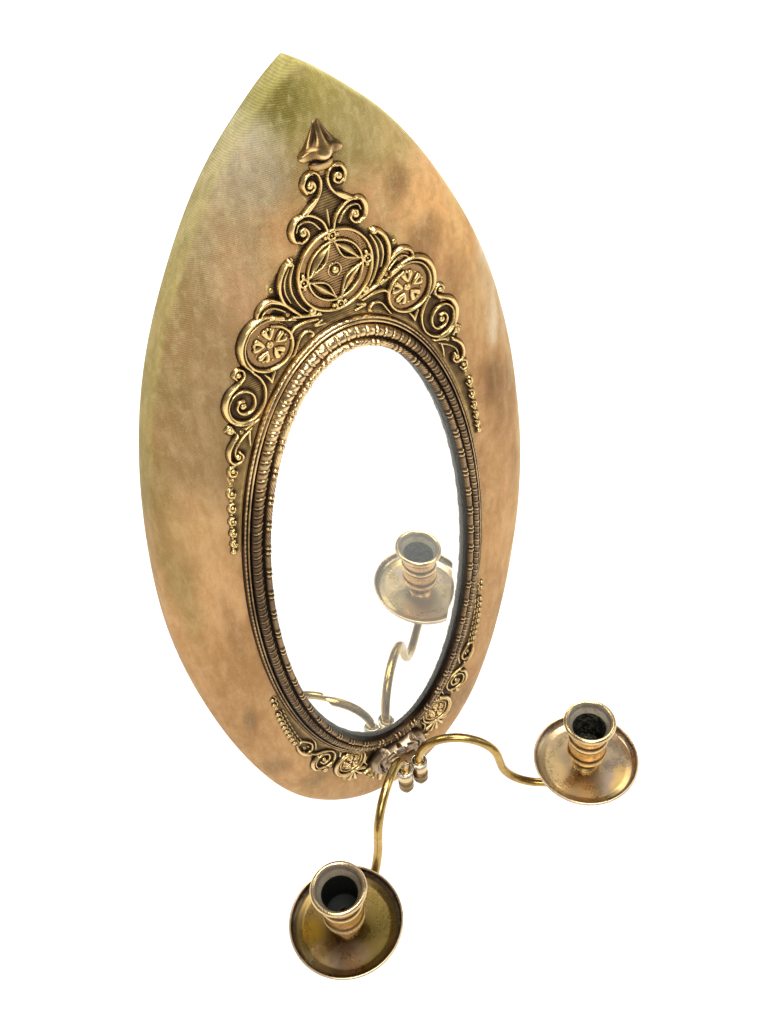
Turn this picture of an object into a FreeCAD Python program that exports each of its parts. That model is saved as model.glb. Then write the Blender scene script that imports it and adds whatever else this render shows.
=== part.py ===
import FreeCAD, Part
import math
import os
import Sketcher
from FreeCAD import Vector, Placement, Rotation

# Wall girandole mirror: an almond-shaped velvet-covered board, an oval bevelled
# mirror in a pressed brass moulding with a crest and a base spray, and two
# swinging candle arms on a two-eyed bracket under the oval.
#
# Frame: millimetres, +X to the viewer's right, +Z up, the wall is the plane
# y = 0 and the front faces -Y.  The origin is on the wall plane, on the
# centreline, at half the height of the board.  "Depth" below always means the
# distance in front of the wall, which is -y.

os.makedirs("parts", exist_ok=True)
doc = FreeCAD.newDocument("girandole_mirror")

# ---------------------------------------------------------------- dimensions
DIMS = [
    # board
    ("half_width", 121.0, "board half width, velvet outside"),
    ("half_height", 272.5, "board half height"),
    ("velvet", 1.4, "velvet and glue thickness"),
    ("board_back", 2.0, "depth of the board's back face"),
    ("rim_depth", 13.2, "depth where the rounded front edge starts"),
    ("crown_depth", 23.7, "depth of the velvet under the brass"),
    ("crown_side", 36.0, "margin from the outline to the flat crown, sides"),
    ("crown_top", 25.0, "the same at the tip"),
    ("crown_foot", 27.0, "the same at the foot"),
    ("cover_inset", 6.0, "back cover inset from the outline"),
    ("cover_thick", 0.8, "back cover thickness"),
    # mirror and its oval
    ("oval_z", -23.0, "height of the oval's centre"),
    ("sight_minor", 66.7, "sight edge half width"),
    ("sight_major", 164.6, "sight edge half height"),
    ("glass_lap", 3.0, "glass hidden behind the sight edge"),
    ("glass_back", 24.0, "depth of the silvered back"),
    ("glass_edge", 1.8, "glass thickness at its edge"),
    ("glass_thick", 4.5, "glass thickness"),
    ("bevel_width", 13.0, "bevel width including the hidden part"),
    ("backing_thick", 3.0, "mirror backing panel thickness"),
    ("opening_gap", 0.7, "clearance around the glass in the board"),
    # brass moulding
    ("band", 15.0, "moulding width"),
    ("sheet", 1.2, "pressed sheet thickness"),
    ("sheet_depth", 23.9, "depth of the back of the pressed sheets"),
    # boss and bracket
    ("boss_z", -215.5, "height of the boss's centre"),
    ("boss_a", 24.0, "boss half width"),
    ("boss_b", 16.5, "boss half height"),
    ("boss_rise", 11.0, "boss height over the sheet"),
    ("boss_wall", 1.8, "boss wall thickness"),
    ("boss_screw_z", -206.0, "height of the boss screw"),
    ("hinge_x", 6.35, "hinge axis to the centreline"),
    ("hinge_depth", 47.7, "depth of the hinge axes"),
    ("eye_r", 5.7, "eye outer radius"),
    ("eye_top", -212.8, "top of the eyes"),
    ("eye_tall", 4.7, "eye height"),
    ("pin_r", 2.5, "hinge pin radius"),
    ("pin_gap", 0.05, "running clearance of the pin, radial"),
    # arms
    ("rod_r", 3.1, "arm rod radius"),
    ("reach", 117.6, "hinge axis to cup axis"),
    ("rest_angle", 37.8, "arm angle in front of the wall's plane, at rest"),
    ("arch_r", 28.5, "radius of the arch"),
    ("arch_z", -206.7, "height of the arch's centre"),
    ("dip_r", 28.0, "radius of the dip, falling side"),
    ("dip_z", -233.8, "lowest point of the rod's centreline"),
    ("rise_r", 15.9, "radius of the dip, rising side"),
    # pan and cup
    ("pan_z", -205.7, "pan floor, upper face"),
    ("pan_r", 36.2, "pan radius"),
    ("pan_deep", 6.0, "pan depth"),
    ("pan_thick", 0.9, "pan metal thickness"),
    ("stud_r", 2.5, "threaded stud radius"),
    ("cup_tall", 52.2, "cup height"),
    ("cup_r", 17.4, "cup rim radius"),
    ("bore_r", 11.0, "candle bore radius"),
    ("bore_deep", 24.0, "candle bore depth"),
    ("funnel", 9.0, "depth of the flared mouth"),
    # hanging plate
    ("plate_z", 196.0, "height of the keyhole's round part"),
    ("key_r", 5.0, "keyhole radius"),
    ("slot_r", 2.4, "keyhole slot half width"),
    ("plate_thick", 2.0, "hanging plate thickness"),
]
sheet = doc.addObject("Spreadsheet::Sheet", "dims")
D = {}
for row, (alias, value, note) in enumerate(DIMS, start=1):
    sheet.set("A%d" % row, alias)
    sheet.set("B%d" % row, "%g" % value)
    sheet.setAlias("B%d" % row, alias)
    sheet.set("C%d" % row, note)
doc.recompute()
for alias, value, note in DIMS:
    D[alias] = float(getattr(sheet, alias))


class Q:
    """A size: its value now, and the expression that ties it to the sheet."""

    def __init__(self, value, text):
        self.value = float(value)
        self.text = text

    def _mix(self, other, sign, flip=False):
        o = other if isinstance(other, Q) else Q(other, "%g" % other)
        a, b = (o, self) if flip else (self, o)
        v = {"+": a.value + b.value, "-": a.value - b.value,
             "*": a.value * b.value, "/": a.value / b.value if b.value else 0.0}[sign]
        return Q(v, "(%s %s %s)" % (a.text, sign, b.text))

    def __add__(self, o): return self._mix(o, "+")
    def __radd__(self, o): return self._mix(o, "+", True)
    def __sub__(self, o): return self._mix(o, "-")
    def __rsub__(self, o): return self._mix(o, "-", True)
    def __mul__(self, o): return self._mix(o, "*")
    def __rmul__(self, o): return self._mix(o, "*", True)
    def __truediv__(self, o): return self._mix(o, "/")
    def __neg__(self): return Q(-self.value, "(0 - %s)" % self.text)


def q(alias):
    return Q(D[alias], "dims.%s" % alias)


def val(x):
    return x.value if isinstance(x, Q) else float(x)


def bind(obj, prop, x):
    """Set a property and tie it to the sheet when the size comes from there."""
    if isinstance(x, Q):
        obj.setExpression(prop, x.text)
    else:
        setattr(obj, prop, x)


SUBPARTS = []


def keep(obj, label):
    obj.Label = label
    SUBPARTS.append(obj)
    return obj


# ------------------------------------------------------------ sketch helpers
def origin_plane(body, role):
    for f in body.Origin.OriginFeatures:
        if f.Role == role:
            return f
    raise RuntimeError("no plane " + role)


def new_sketch(body, name, role, offset=None):
    sk = body.newObject("Sketcher::SketchObject", name)
    sk.AttachmentSupport = [(origin_plane(body, role), "")]
    sk.MapMode = "FlatFace"
    if offset is not None:
        sk.AttachmentOffset = Placement(Vector(0, 0, val(offset)), Rotation())
        if isinstance(offset, Q):
            sk.setExpression("AttachmentOffset.Base.z", offset.text)
    return sk


def pin_vertex(sk, geo, pos, x, y):
    """Dimension a vertex from the sketch's origin."""
    for kind, axis, v in (("DistanceX", -2, x), ("DistanceY", -1, y)):
        n = val(v)
        if abs(n) < 1e-9:
            sk.addConstraint(Sketcher.Constraint("PointOnObject", geo, pos, axis))
            continue
        if n > 0:
            c = Sketcher.Constraint(kind, -1, 1, geo, pos, n)
        else:
            c = Sketcher.Constraint(kind, geo, pos, -1, 1, -n)
        i = sk.addConstraint(c)
        if isinstance(v, Q):
            sk.setExpression("Constraints[%d]" % i, v.text if n > 0 else "0 - %s" % v.text)


def profile(body, name, role, verts, offset=None):
    """Closed outline.  A vertex is (x, y); a vertex followed by a third item,
    the bulge, starts an arc to the next vertex: bulge is the arc's height over
    half its chord, positive to the left of the direction of travel."""
    sk = new_sketch(body, name, role, offset)
    n = len(verts)
    ends = []
    for i in range(n):
        a, b = verts[i], verts[(i + 1) % n]
        ax, ay, bx, by = val(a[0]), val(a[1]), val(b[0]), val(b[1])
        if len(a) == 2:
            g = sk.addGeometry(Part.LineSegment(Vector(ax, ay, 0), Vector(bx, by, 0)), False)
            ends.append((g, 1, 2))
        else:
            bulge = a[2]
            chord = math.hypot(bx - ax, by - ay)
            h = abs(bulge) * chord / 2.0
            r = (chord * chord / 4.0 + h * h) / (2.0 * h)
            mx, my = (ax + bx) / 2.0, (ay + by) / 2.0
            nx, ny = -(by - ay) / chord, (bx - ax) / chord
            s = 1.0 if bulge > 0 else -1.0
            cx, cy = mx + nx * s * (h - r), my + ny * s * (h - r)
            a0 = math.atan2(ay - cy, ax - cx)
            a1 = math.atan2(by - cy, bx - cx)
            circle = Part.Circle(Vector(cx, cy, 0), Vector(0, 0, 1), r)
            if s > 0:      # the arc bulges left: it runs clockwise from a to b
                g = sk.addGeometry(Part.ArcOfCircle(circle, a1, a0), False)
                ends.append((g, 2, 1))
            else:
                g = sk.addGeometry(Part.ArcOfCircle(circle, a0, a1), False)
                ends.append((g, 1, 2))
            sk.addConstraint(Sketcher.Constraint("Radius", g, r))
    for i in range(n):
        j = (i + 1) % n
        sk.addConstraint(Sketcher.Constraint("Coincident", ends[i][0], ends[i][2], ends[j][0], ends[j][1]))
    for i in range(n):
        pin_vertex(sk, ends[i][0], ends[i][1], verts[i][0], verts[i][1])
    return sk


def lathe(label, verts, place):
    """A turned piece: half profile in the body's XZ plane, turned about Z."""
    body = doc.addObject("PartDesign::Body", label)
    sk = profile(body, label + "_profile", "XZ_Plane", verts)
    rev = body.newObject("PartDesign::Revolution", label + "_turned")
    rev.Profile = sk
    rev.ReferenceAxis = (sk, ["V_Axis"])
    rev.Angle = 360.0
    body.Placement = place
    return keep(body, label)


def at(x, depth, z, rot=None):
    return Placement(Vector(val(x), -val(depth), val(z)), rot or Rotation())


# --------------------------------------------------------------- Part helpers
UPRIGHT = Rotation(Vector(1, 1, 1), 120)       # X -> Y -> Z -> X
# an ellipse's major axis (its X) must point up and its normal along Y
OVAL_ROT = Rotation(Vector(1, 1, 1), -120)     # X -> Z, Y -> X, Z -> Y


def tie_placement(obj, x=None, depth=None, z=None):
    """Tie a placement's coordinates to the sheet."""
    for axis, v in (("x", x), ("y", None if depth is None else -depth), ("z", z)):
        if isinstance(v, Q):
            obj.setExpression("Placement.Base." + axis, v.text)


def ellipse(name, major, minor, depth, z, x=0.0):
    e = doc.addObject("Part::Ellipse", name)
    bind(e, "MajorRadius", major)
    bind(e, "MinorRadius", minor)
    e.Placement = at(x, depth, z, OVAL_ROT)
    tie_placement(e, depth=depth if isinstance(depth, Q) else None, z=z if isinstance(z, Q) else None)
    return e


def wide_ellipse(name, half_wide, half_tall, depth, z):
    """An ellipse whose major axis is along X, facing the front."""
    e = doc.addObject("Part::Ellipse", name)
    bind(e, "MajorRadius", half_wide)
    bind(e, "MinorRadius", half_tall)
    e.Placement = at(0, depth, z, Rotation(Vector(1, 0, 0), 90))
    tie_placement(e, depth=depth if isinstance(depth, Q) else None, z=z if isinstance(z, Q) else None)
    return e


def extrude(name, base, length, direction=(0, -1, 0)):
    x = doc.addObject("Part::Extrusion", name)
    x.Base = base
    x.DirMode = "Custom"
    x.Dir = Vector(*direction)
    x.Solid = True
    bind(x, "LengthFwd", length)
    return x


def loft(name, sections, ruled=True):
    x = doc.addObject("Part::Loft", name)
    x.Sections = sections
    x.Solid = True
    x.Ruled = ruled
    return x


def cut(name, base, tool):
    x = doc.addObject("Part::Cut", name)
    x.Base = base
    x.Tool = tool
    return x


def fuse(name, shapes):
    x = doc.addObject("Part::MultiFuse", name)
    x.Shapes = shapes
    return x


def cylinder(name, radius, height, place, xq=None, depth=None, z=None):
    c = doc.addObject("Part::Cylinder", name)
    bind(c, "Radius", radius)
    bind(c, "Height", height)
    c.Placement = place
    tie_placement(c, xq, depth, z)
    return c


def box(name, x0, x1, d0, d1, z0, z1):
    """A box between x0 and x1, depths d0 and d1 and heights z0 and z1."""
    b = doc.addObject("Part::Box", name)
    bind(b, "Length", x1 - x0)
    bind(b, "Width", d1 - d0)
    bind(b, "Height", z1 - z0)
    b.Placement = at(x0, d1, z0)
    tie_placement(b, x0 if isinstance(x0, Q) else None, d1 if isinstance(d1, Q) else None,
                  z0 if isinstance(z0, Q) else None)
    return b


FRONT = Rotation(Vector(1, 0, 0), 90)          # a primitive's Z turned to the front (-Y)


def front_cylinder(name, radius, d0, d1, x, z):
    """A cylinder that runs from depth d0 to depth d1 towards the front."""
    return cylinder(name, radius, d1 - d0, at(x, d0, z, FRONT),
                    x if isinstance(x, Q) else None, d0 if isinstance(d0, Q) else None,
                    z if isinstance(z, Q) else None)


# ------------------------------------------------------------ board outline
# Fractions of the half width against the height, from tip to foot.  The tip is
# an ogive with a straight flank, the foot is round.
OUTLINE = [(0.0000, 1.0000), (0.0860, 0.9755), (0.1653, 0.9480), (0.3058, 0.8931), (0.5471, 0.7538),
           (0.7388, 0.5945), (0.8851, 0.3949), (0.9653, 0.1956), (1.0000, -0.0037),
           (0.9719, -0.2429), (0.9000, -0.4422), (0.7851, -0.6415), (0.6339, -0.8011),
           (0.4190, -0.9207), (0.2058, -0.9806), (0.0000, -1.0000)]


def outline_wire(side, top, foot, depth):
    """The almond outline, inset by side, top and foot, at a depth."""
    a = D["half_width"] - side
    zt, zf = D["half_height"] - top, -(D["half_height"] - foot)
    mid, half = (zt + zf) / 2.0, (zt - zf) / 2.0
    pts = [Vector(a * fx, -depth, mid + half * fz) for fx, fz in OUTLINE]
    right = Part.BSplineCurve()
    right.interpolate(pts)
    left_pts = [Vector(-p.x, p.y, p.z) for p in reversed(pts)]
    left = Part.BSplineCurve()
    left.interpolate(left_pts)
    return Part.Wire([right.toShape(), left.toShape()])


def outline_feature(name, side, top, foot, depth):
    f = doc.addObject("Part::Feature", name)
    f.Shape = outline_wire(side, top, foot, depth)
    return f


def almond(name, side, top, foot, back, rim, crown, crown_in):
    """The board's solid: a slab with the outline, and a front that rises from
    the rim to the flat crown."""
    lower = outline_feature(name + "_back", side, top, foot, back)
    slab = extrude(name + "_slab", lower, rim - back)
    rim_w = outline_feature(name + "_rim", side, top, foot, rim)
    mid_w = outline_feature(name + "_shoulder", side + crown_in[0] * 0.36, top + crown_in[1] * 0.36,
                            foot + crown_in[2] * 0.36, rim + (crown - rim) * 0.66)
    top_w = outline_feature(name + "_crown", side + crown_in[0], top + crown_in[1], foot + crown_in[2], crown)
    low = loft(name + "_slope", [rim_w, mid_w])
    high = loft(name + "_slope_upper", [mid_w, top_w])
    return fuse(name + "_solid", [slab, low, high])


CROWN = (D["crown_side"], D["crown_top"], D["crown_foot"])
v = D["velvet"]

# --- backboard: pine, cut to the almond, with an oval opening for the mirror
board = almond("board", v, v * 1.4, v, D["board_back"], D["rim_depth"] - 0.4, D["crown_depth"] - v,
               (CROWN[0] - v, CROWN[1] - v, CROWN[2] - v))
glass_a = q("sight_major") + q("glass_lap")
glass_b = q("sight_minor") + q("glass_lap")
hole_oval = ellipse("opening_oval", glass_a + q("opening_gap"), glass_b + q("opening_gap"), 0, q("oval_z"))
hole = extrude("opening_solid", hole_oval, 40)
screw_pocket = front_cylinder("keyhole_pocket", q("key_r") + 1.5, 0.0, 12.0, 0.0, q("plate_z"))
screw_pocket2 = box("keyhole_pocket_slot", -(q("key_r") + 0.5), q("key_r") + 0.5, 0.0, 12.0,
                    q("plate_z"), q("plate_z") + 13)
board_cuts = fuse("board_cuts", [hole, screw_pocket, screw_pocket2])
backboard = keep(cut("backboard", board, board_cuts), "backboard")

# --- velvet cover: stretched over the front and edge, turned in at the back
velvet_out = almond("velvet", 0.0, 0.0, 0.0, D["cover_thick"], D["rim_depth"], D["crown_depth"], CROWN)
board_again = almond("velvet_inside", v, v * 1.4, v, D["board_back"], D["rim_depth"] - 0.4,
                     D["crown_depth"] - v, (CROWN[0] - v, CROWN[1] - v, CROWN[2] - v))
turn_in = outline_feature("turn_in_edge", 16.0, 22.0, 16.0, 0.0)
turn_in_solid = extrude("turn_in_opening", turn_in, 6.0)
velvet_oval = ellipse("velvet_trim_oval", q("sight_major") + 8.0, q("sight_minor") + 8.0, 0, q("oval_z"))
velvet_hole = extrude("velvet_trim", velvet_oval, 40)
bracket_seat = box("bracket_seat", -17.0, 17.0, 14.0, 40.0, q("boss_z") - 13.0, q("boss_z") + 13.0)
velvet_tool = fuse("velvet_tool", [board_again, turn_in_solid, velvet_hole, bracket_seat])
velvet_cover = cut("velvet_sheet", velvet_out, velvet_tool)
doc.recompute()

# --- back cover: card, glued over the turned-in velvet
cover_w = outline_feature("cover_outline", D["cover_inset"], D["cover_inset"] * 1.4, D["cover_inset"], 0.0)
cover = extrude("cover_sheet", cover_w, q("cover_thick"))
cover_gap = box("cover_gap", -14.2, 14.2, -1.0, 5.0, q("plate_z") - 18.2, q("plate_z") + 24.2)
back_cover = keep(cut("back_cover", cover, cover_gap), "back_cover")

# --- mirror: oval plate glass, bevelled on the front
g0 = ellipse("glass_back_oval", glass_a, glass_b, q("glass_back"), q("oval_z"))
g_slab = extrude("glass_slab", g0, q("glass_edge"))
g1 = ellipse("glass_bevel_outer", glass_a, glass_b, q("glass_back") + q("glass_edge"), q("oval_z"))
g2 = ellipse("glass_bevel_inner", glass_a - q("bevel_width"), glass_b - q("bevel_width"),
             q("glass_back") + q("glass_thick"), q("oval_z"))
g_bevel = loft("glass_bevel", [g1, g2])
mirror_glass = keep(fuse("mirror_glass", [g_slab, g_bevel]), "mirror_glass")

# --- backing panel behind the glass, and the sprigs that hold both in
b0 = ellipse("backing_oval", glass_a - 0.4, glass_b - 0.4, q("glass_back") - q("backing_thick") - 0.1, q("oval_z"))
mirror_backing = keep(extrude("mirror_backing", b0, q("backing_thick")), "mirror_backing")

SPRIG_ANGLES = [12, 50, 90, 130, 168, 192, 230, 270, 310, 348]


def oval_point(offset, degrees):
    """A point outside the sight edge by offset, and the outward direction."""
    t = math.radians(degrees)
    a, b = D["sight_minor"], D["sight_major"]
    x, z = a * math.cos(t), b * math.sin(t)
    nx, nz = b * math.cos(t), a * math.sin(t)
    k = math.hypot(nx, nz)
    nx, nz = nx / k, nz / k
    return x + nx * offset, D["oval_z"] + z + nz * offset, math.degrees(math.atan2(nz, nx))


sprig_shapes = []
sprig_depth = D["glass_back"] - D["backing_thick"] - 0.2
for deg in SPRIG_ANGLES:
    x, z, ang = oval_point(D["glass_lap"] + D["opening_gap"], deg)
    tri = Part.makePolygon([Vector(-7, 0, -1.2), Vector(4, 0, -3.5), Vector(4, 0, 3.5), Vector(-7, 0, 1.2),
                            Vector(-7, 0, -1.2)])
    s = Part.Face(tri).extrude(Vector(0, 0.7, 0))
    s.rotate(Vector(0, 0, 0), Vector(0, 1, 0), -ang)
    s.translate(Vector(x, -sprig_depth, z))
    sprig_shapes.append(s)
sprigs = doc.addObject("Part::Feature", "glazing_sprigs")
sprigs.Shape = Part.makeCompound(sprig_shapes)
keep(sprigs, "glazing_sprigs")

# --- oval moulding: one pressed strip, swept along the sight edge
# profile points: (distance outside the sight edge, depth)
STRIP_FRONT = [(0.0, 26.9), (0.1, 29.6), (0.5, 31.2), (1.4, 32.2), (2.8, 32.5), (4.1, 31.9), (5.0, 30.4),
               (5.9, 30.8), (7.2, 31.2), (8.8, 30.6), (10.3, 28.9), (11.0, 27.4),
               (11.6, 27.9), (12.4, 28.0), (13.1, 27.2), (13.7, 25.6), (15.0, 25.3)]
STRIP_BACK = [(15.0, 24.1), (12.9, 24.3), (12.3, 26.6), (11.2, 26.2), (9.8, 27.8), (8.4, 29.5),
              (7.1, 30.0), (5.4, 29.3), (4.4, 29.2), (3.6, 30.7), (2.7, 31.3), (1.9, 31.0), (1.4, 30.2), (1.0, 26.9)]
z_top = D["oval_z"] + D["sight_major"]
strip = doc.addObject("Part::Feature", "moulding_section")
strip_pts = [Vector(0, -d, z_top + o) for o, d in STRIP_FRONT + STRIP_BACK]
strip.Shape = Part.makePolygon(strip_pts + [strip_pts[0]])
spine = ellipse("sight_line", q("sight_major"), q("sight_minor"), 29.0, q("oval_z"))
moulding = doc.addObject("Part::Sweep", "oval_moulding")
moulding.Sections = [strip]
moulding.Spine = (spine, ["Edge1"])
moulding.Solid = True
moulding.Frenet = True
keep(moulding, "oval_moulding")

# --- crest sheet: pierced and pressed, round the upper half of the oval
CREST = [(3.2, 229.5), (7.0, 232.0), (11.5, 230.0), (12.6, 224.0), (9.5, 217.5), (14.0, 216.5), (19.0, 212.5),
         (19.8, 206.0), (16.5, 200.5), (21.5, 197.0), (26.0, 195.5), (31.0, 192.0), (35.5, 189.5), (36.5, 184.5),
         (34.5, 175.5), (38.5, 173.5), (45.0, 171.0), (50.5, 166.0), (52.8, 159.0), (51.5, 151.0), (57.0, 152.5),
         (60.0, 147.0), (58.5, 142.0), (64.0, 139.0), (66.5, 133.0), (65.0, 126.5), (70.0, 125.5), (70.5, 120.5),
         (67.0, 115.0), (70.5, 110.0), (71.5, 103.5), (74.5, 99.5), (75.0, 94.5), (74.0, 90.0), (77.0, 86.0),
         (77.0, 81.0), (76.5, 77.5), (79.0, 74.5), (79.0, 69.0), (78.5, 66.0), (80.6, 63.0), (80.6, 58.5),
         (81.0, 54.0), (82.6, 50.0), (82.4, 44.0)]
CREST_INNER = [(70.0, 44.0), (60.0, 80.0), (40.0, 118.0), (20.0, 136.0)]


def mirrored_sheet(name, right_pts, centre_top, centre_low):
    """A flat sheet whose outline is given for the right half."""
    pts = [Vector(x, 0, z) for x, z in right_pts]
    loop = list(pts) + [Vector(0, 0, z) for z in centre_low]
    loop += [Vector(-p.x, 0, p.z) for p in reversed(pts)]
    loop += [Vector(0, 0, z) for z in centre_top]
    loop.append(loop[0])
    wire = doc.addObject("Part::Feature", name + "_outline")
    wire.Shape = Part.makePolygon(loop)
    wire.Placement = at(0, q("sheet_depth"), 0)
    tie_placement(wire, depth=q("sheet_depth"))
    return extrude(name + "_blank", wire, q("sheet"))




def band_solid(name):
    """Everything inside the moulding's outer edge, a line parallel to the sight
    edge, as a tool for the sheets that butt against it."""
    pts = [oval_point(D["band"] + 0.15, t) for t in range(0, 360, 5)]
    curve = Part.BSplineCurve()
    curve.interpolate(Points=[Vector(x, 0, z) for x, z, _ in pts], PeriodicFlag=True)
    line = doc.addObject("Part::Feature", name + "_edge")
    line.Shape = Part.Wire([curve.toShape()])
    return extrude(name, line, 45)


def raised_ring(name, x, z, r_out, r_in, height):
    """A raised ring pressed up from the sheet."""
    d0 = q("sheet_depth") + q("sheet")
    return cut(name, front_cylinder(name + "_disc", r_out, d0, d0 + height, x, z),
               front_cylinder(name + "_well", r_in, d0 + 0.8, d0 + height + 1, x, z))


def bead(name, x, z, r):
    s = doc.addObject("Part::Sphere", name)
    s.Radius = r
    s.Placement = at(x, q("sheet_depth") + q("sheet") - r * 0.35, z)
    return s


def sides(x):
    return ((x, "r"), (-x, "l"))


crest_blank = mirrored_sheet("crest", CREST + CREST_INNER, [], [])
crest_oval = band_solid("crest_oval_cut")
crest_flat = cut("crest_flat", crest_blank, crest_oval)
crest_up = [crest_flat, raised_ring("crest_roundel", 0.0, 183.7, 19.5, 15.5, 3.2)]
for x, s in sides(38.3):
    crest_up.append(raised_ring("side_roundel_" + s, x, 159.2, 12.6, 9.4, 2.8))
for x, s in sides(57.5):
    crest_up.append(raised_ring("spiral_" + s, x, 133.1, 7.6, 4.6, 2.6))
for x, s in sides(7.7):
    crest_up.append(raised_ring("top_scroll_" + s, x, 225.9, 4.2, 1.8, 2.2))
for x, s in sides(14.4):
    crest_up.append(raised_ring("second_scroll_" + s, x, 207.5, 4.6, 2.0, 2.2))
for x, s in sides(65.8):
    crest_up.append(raised_ring("lower_scroll_" + s, x, 106.6, 4.4, 1.9, 2.2))
for i, (bx, bz) in enumerate([(66.7, 121.5), (71.4, 96.8), (74.3, 84.0), (76.3, 72.4), (78.2, 60.6)]):
    for x, s in sides(bx):
        crest_up.append(bead("chain_bead_%d%s" % (i, s), x, bz, 2.4 - 0.12 * i))
crest_solid = fuse("crest_raised", crest_up)

# --- base spray: the pressed sheet round the lower end of the oval
SPRAY = [(82.3, -82.0), (83.0, -88.0), (81.4, -96.0), (82.4, -101.0), (80.6, -108.5), (81.3, -114.0), (78.6, -121.0),
         (79.2, -127.0), (76.0, -134.0), (76.3, -140.5), (72.2, -146.5), (70.5, -156.0), (66.0, -162.0),
         (66.0, -171.0), (64.0, -180.0), (59.0, -184.5), (58.0, -191.0), (52.5, -193.5), (50.0, -197.0),
         (49.0, -205.5), (43.0, -213.0), (36.0, -219.5), (27.0, -221.5), (24.5, -229.0), (18.0, -236.0),
         (12.0, -239.0), (9.0, -246.0), (4.0, -251.5)]
SPRAY_INNER = [(70.0, -82.0), (56.0, -130.0), (36.0, -165.0), (15.0, -180.0)]
spray_pts = list(SPRAY)
spray_loop = [Vector(x, 0, z) for x, z in SPRAY_INNER[::-1] + SPRAY]
spray_loop += [Vector(0, 0, -253.0)] + [Vector(-p.x, 0, p.z) for p in reversed(spray_loop)]
spray_loop.append(spray_loop[0])
spray_wire = doc.addObject("Part::Feature", "spray_outline")
spray_wire.Shape = Part.makePolygon(spray_loop)
spray_wire.Placement = at(0, q("sheet_depth"), 0)
tie_placement(spray_wire, depth=q("sheet_depth"))
spray_blank = extrude("spray_blank", spray_wire, q("sheet"))
spray_oval = band_solid("spray_oval_cut")
spray_seat = box("spray_bracket_hole", -16.8, 16.8, 14.0, 40.0, q("boss_z") - 12.8, q("boss_z") + 12.8)
spray_flat = cut("spray_flat", spray_blank, fuse("spray_cuts", [spray_oval, spray_seat]))
spray_up = [spray_flat]
for x, s in sides(37.0):
    spray_up.append(raised_ring("base_roundel_" + s, x, -199.5, 11.6, 8.6, 2.6))
for x, s in sides(56.5):
    spray_up.append(raised_ring("base_spiral_" + s, x, -176.6, 7.2, 4.4, 2.4))
for i, (bx, bz) in enumerate([(81.0, -90.0), (80.2, -102.5), (78.4, -115.2), (76.0, -128.0), (73.0, -140.6)]):
    for x, s in sides(bx):
        spray_up.append(bead("spray_bead_%d%s" % (i, s), x, bz, 1.8 + 0.12 * i))
spray_solid = fuse("spray_raised", spray_up)

# --- crest finial: a small bell on the crest's neck
finial = lathe("crest_finial_turned", [(0.0, 0.0), (2.4, 0.0), (2.4, 1.6), (5.2, 2.4), (6.0, 4.0, 0.35), (6.4, 6.8),
                                       (9.6, 8.2), (10.2, 10.2), (7.6, 12.0, -0.25), (3.4, 18.0, -0.15), (1.6, 22.0, 0.5),
                                       (0.0, 24.4)], at(0, 25.5, 230.0))
SUBPARTS.remove(finial)
# the bell is pressed in half relief: its back is flat, and its depth is 0.45 of
# its half width, so the turned solid is squeezed front to back and halved
doc.recompute()
half = finial.Shape.copy()
m = FreeCAD.Matrix()
m.A22 = 0.62
squeezed = half.transformGeometry(FreeCAD.Placement(Vector(0, -25.5 + 25.5 * 0.62, 0), Rotation()).toMatrix() * m)
keepbox = Part.makeBox(60, 60, 80, Vector(-30, -60 - D["sheet_depth"], 200))
finial_shape = squeezed.common(keepbox)
crest_finial = doc.addObject("Part::Feature", "crest_finial_half")
crest_finial.Shape = finial_shape.Solids[0]
keep(crest_finial, "crest_finial")

# --- gimp pins through the sheets into the board
PINS = [(33.0, 185.4), (27.0, 170.5), (61.2, 118.5), (72.9, 90.4), (79.4, -96.3), (68.0, -152.0), (52.5, -189.0),
        (22.0, -230.5)]
pin_head_depth = D["sheet_depth"] + D["sheet"]
pin_shapes, pin_holes = [], []
for px, pz in PINS:
    for s in (1, -1):
        shank = Part.makeCylinder(0.6, pin_head_depth - 9.0, Vector(s * px, -9.0, pz), Vector(0, -1, 0))
        head = Part.makeSphere(1.5, Vector(s * px, -(pin_head_depth - 0.6), pz))
        head = head.common(Part.makeBox(6, 6, 6, Vector(s * px - 3, -pin_head_depth - 6, pz - 3)))
        pin_shapes.append(shank.fuse(head).removeSplitter())
        pin_holes.append(Part.makeCylinder(0.7, 30.0, Vector(s * px, 0, pz), Vector(0, -1, 0)))
pins = doc.addObject("Part::Feature", "frame_pins")
pins.Shape = Part.makeCompound(pin_shapes)
keep(pins, "frame_pins")
hole_tool = doc.addObject("Part::Feature", "pin_holes")
hole_tool.Shape = Part.makeCompound(pin_holes)
behind = box("behind_sheets", -100.0, 100.0, 0.0, q("sheet_depth"), -300.0, 300.0)
sheet_tool = fuse("sheet_tool", [hole_tool, behind])
keep(cut("crest_plate", crest_solid, sheet_tool), "crest_plate")
keep(cut("base_spray", spray_solid, sheet_tool), "base_spray")
keep(cut("velvet_cover", velvet_cover, hole_tool), "velvet_cover")

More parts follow.
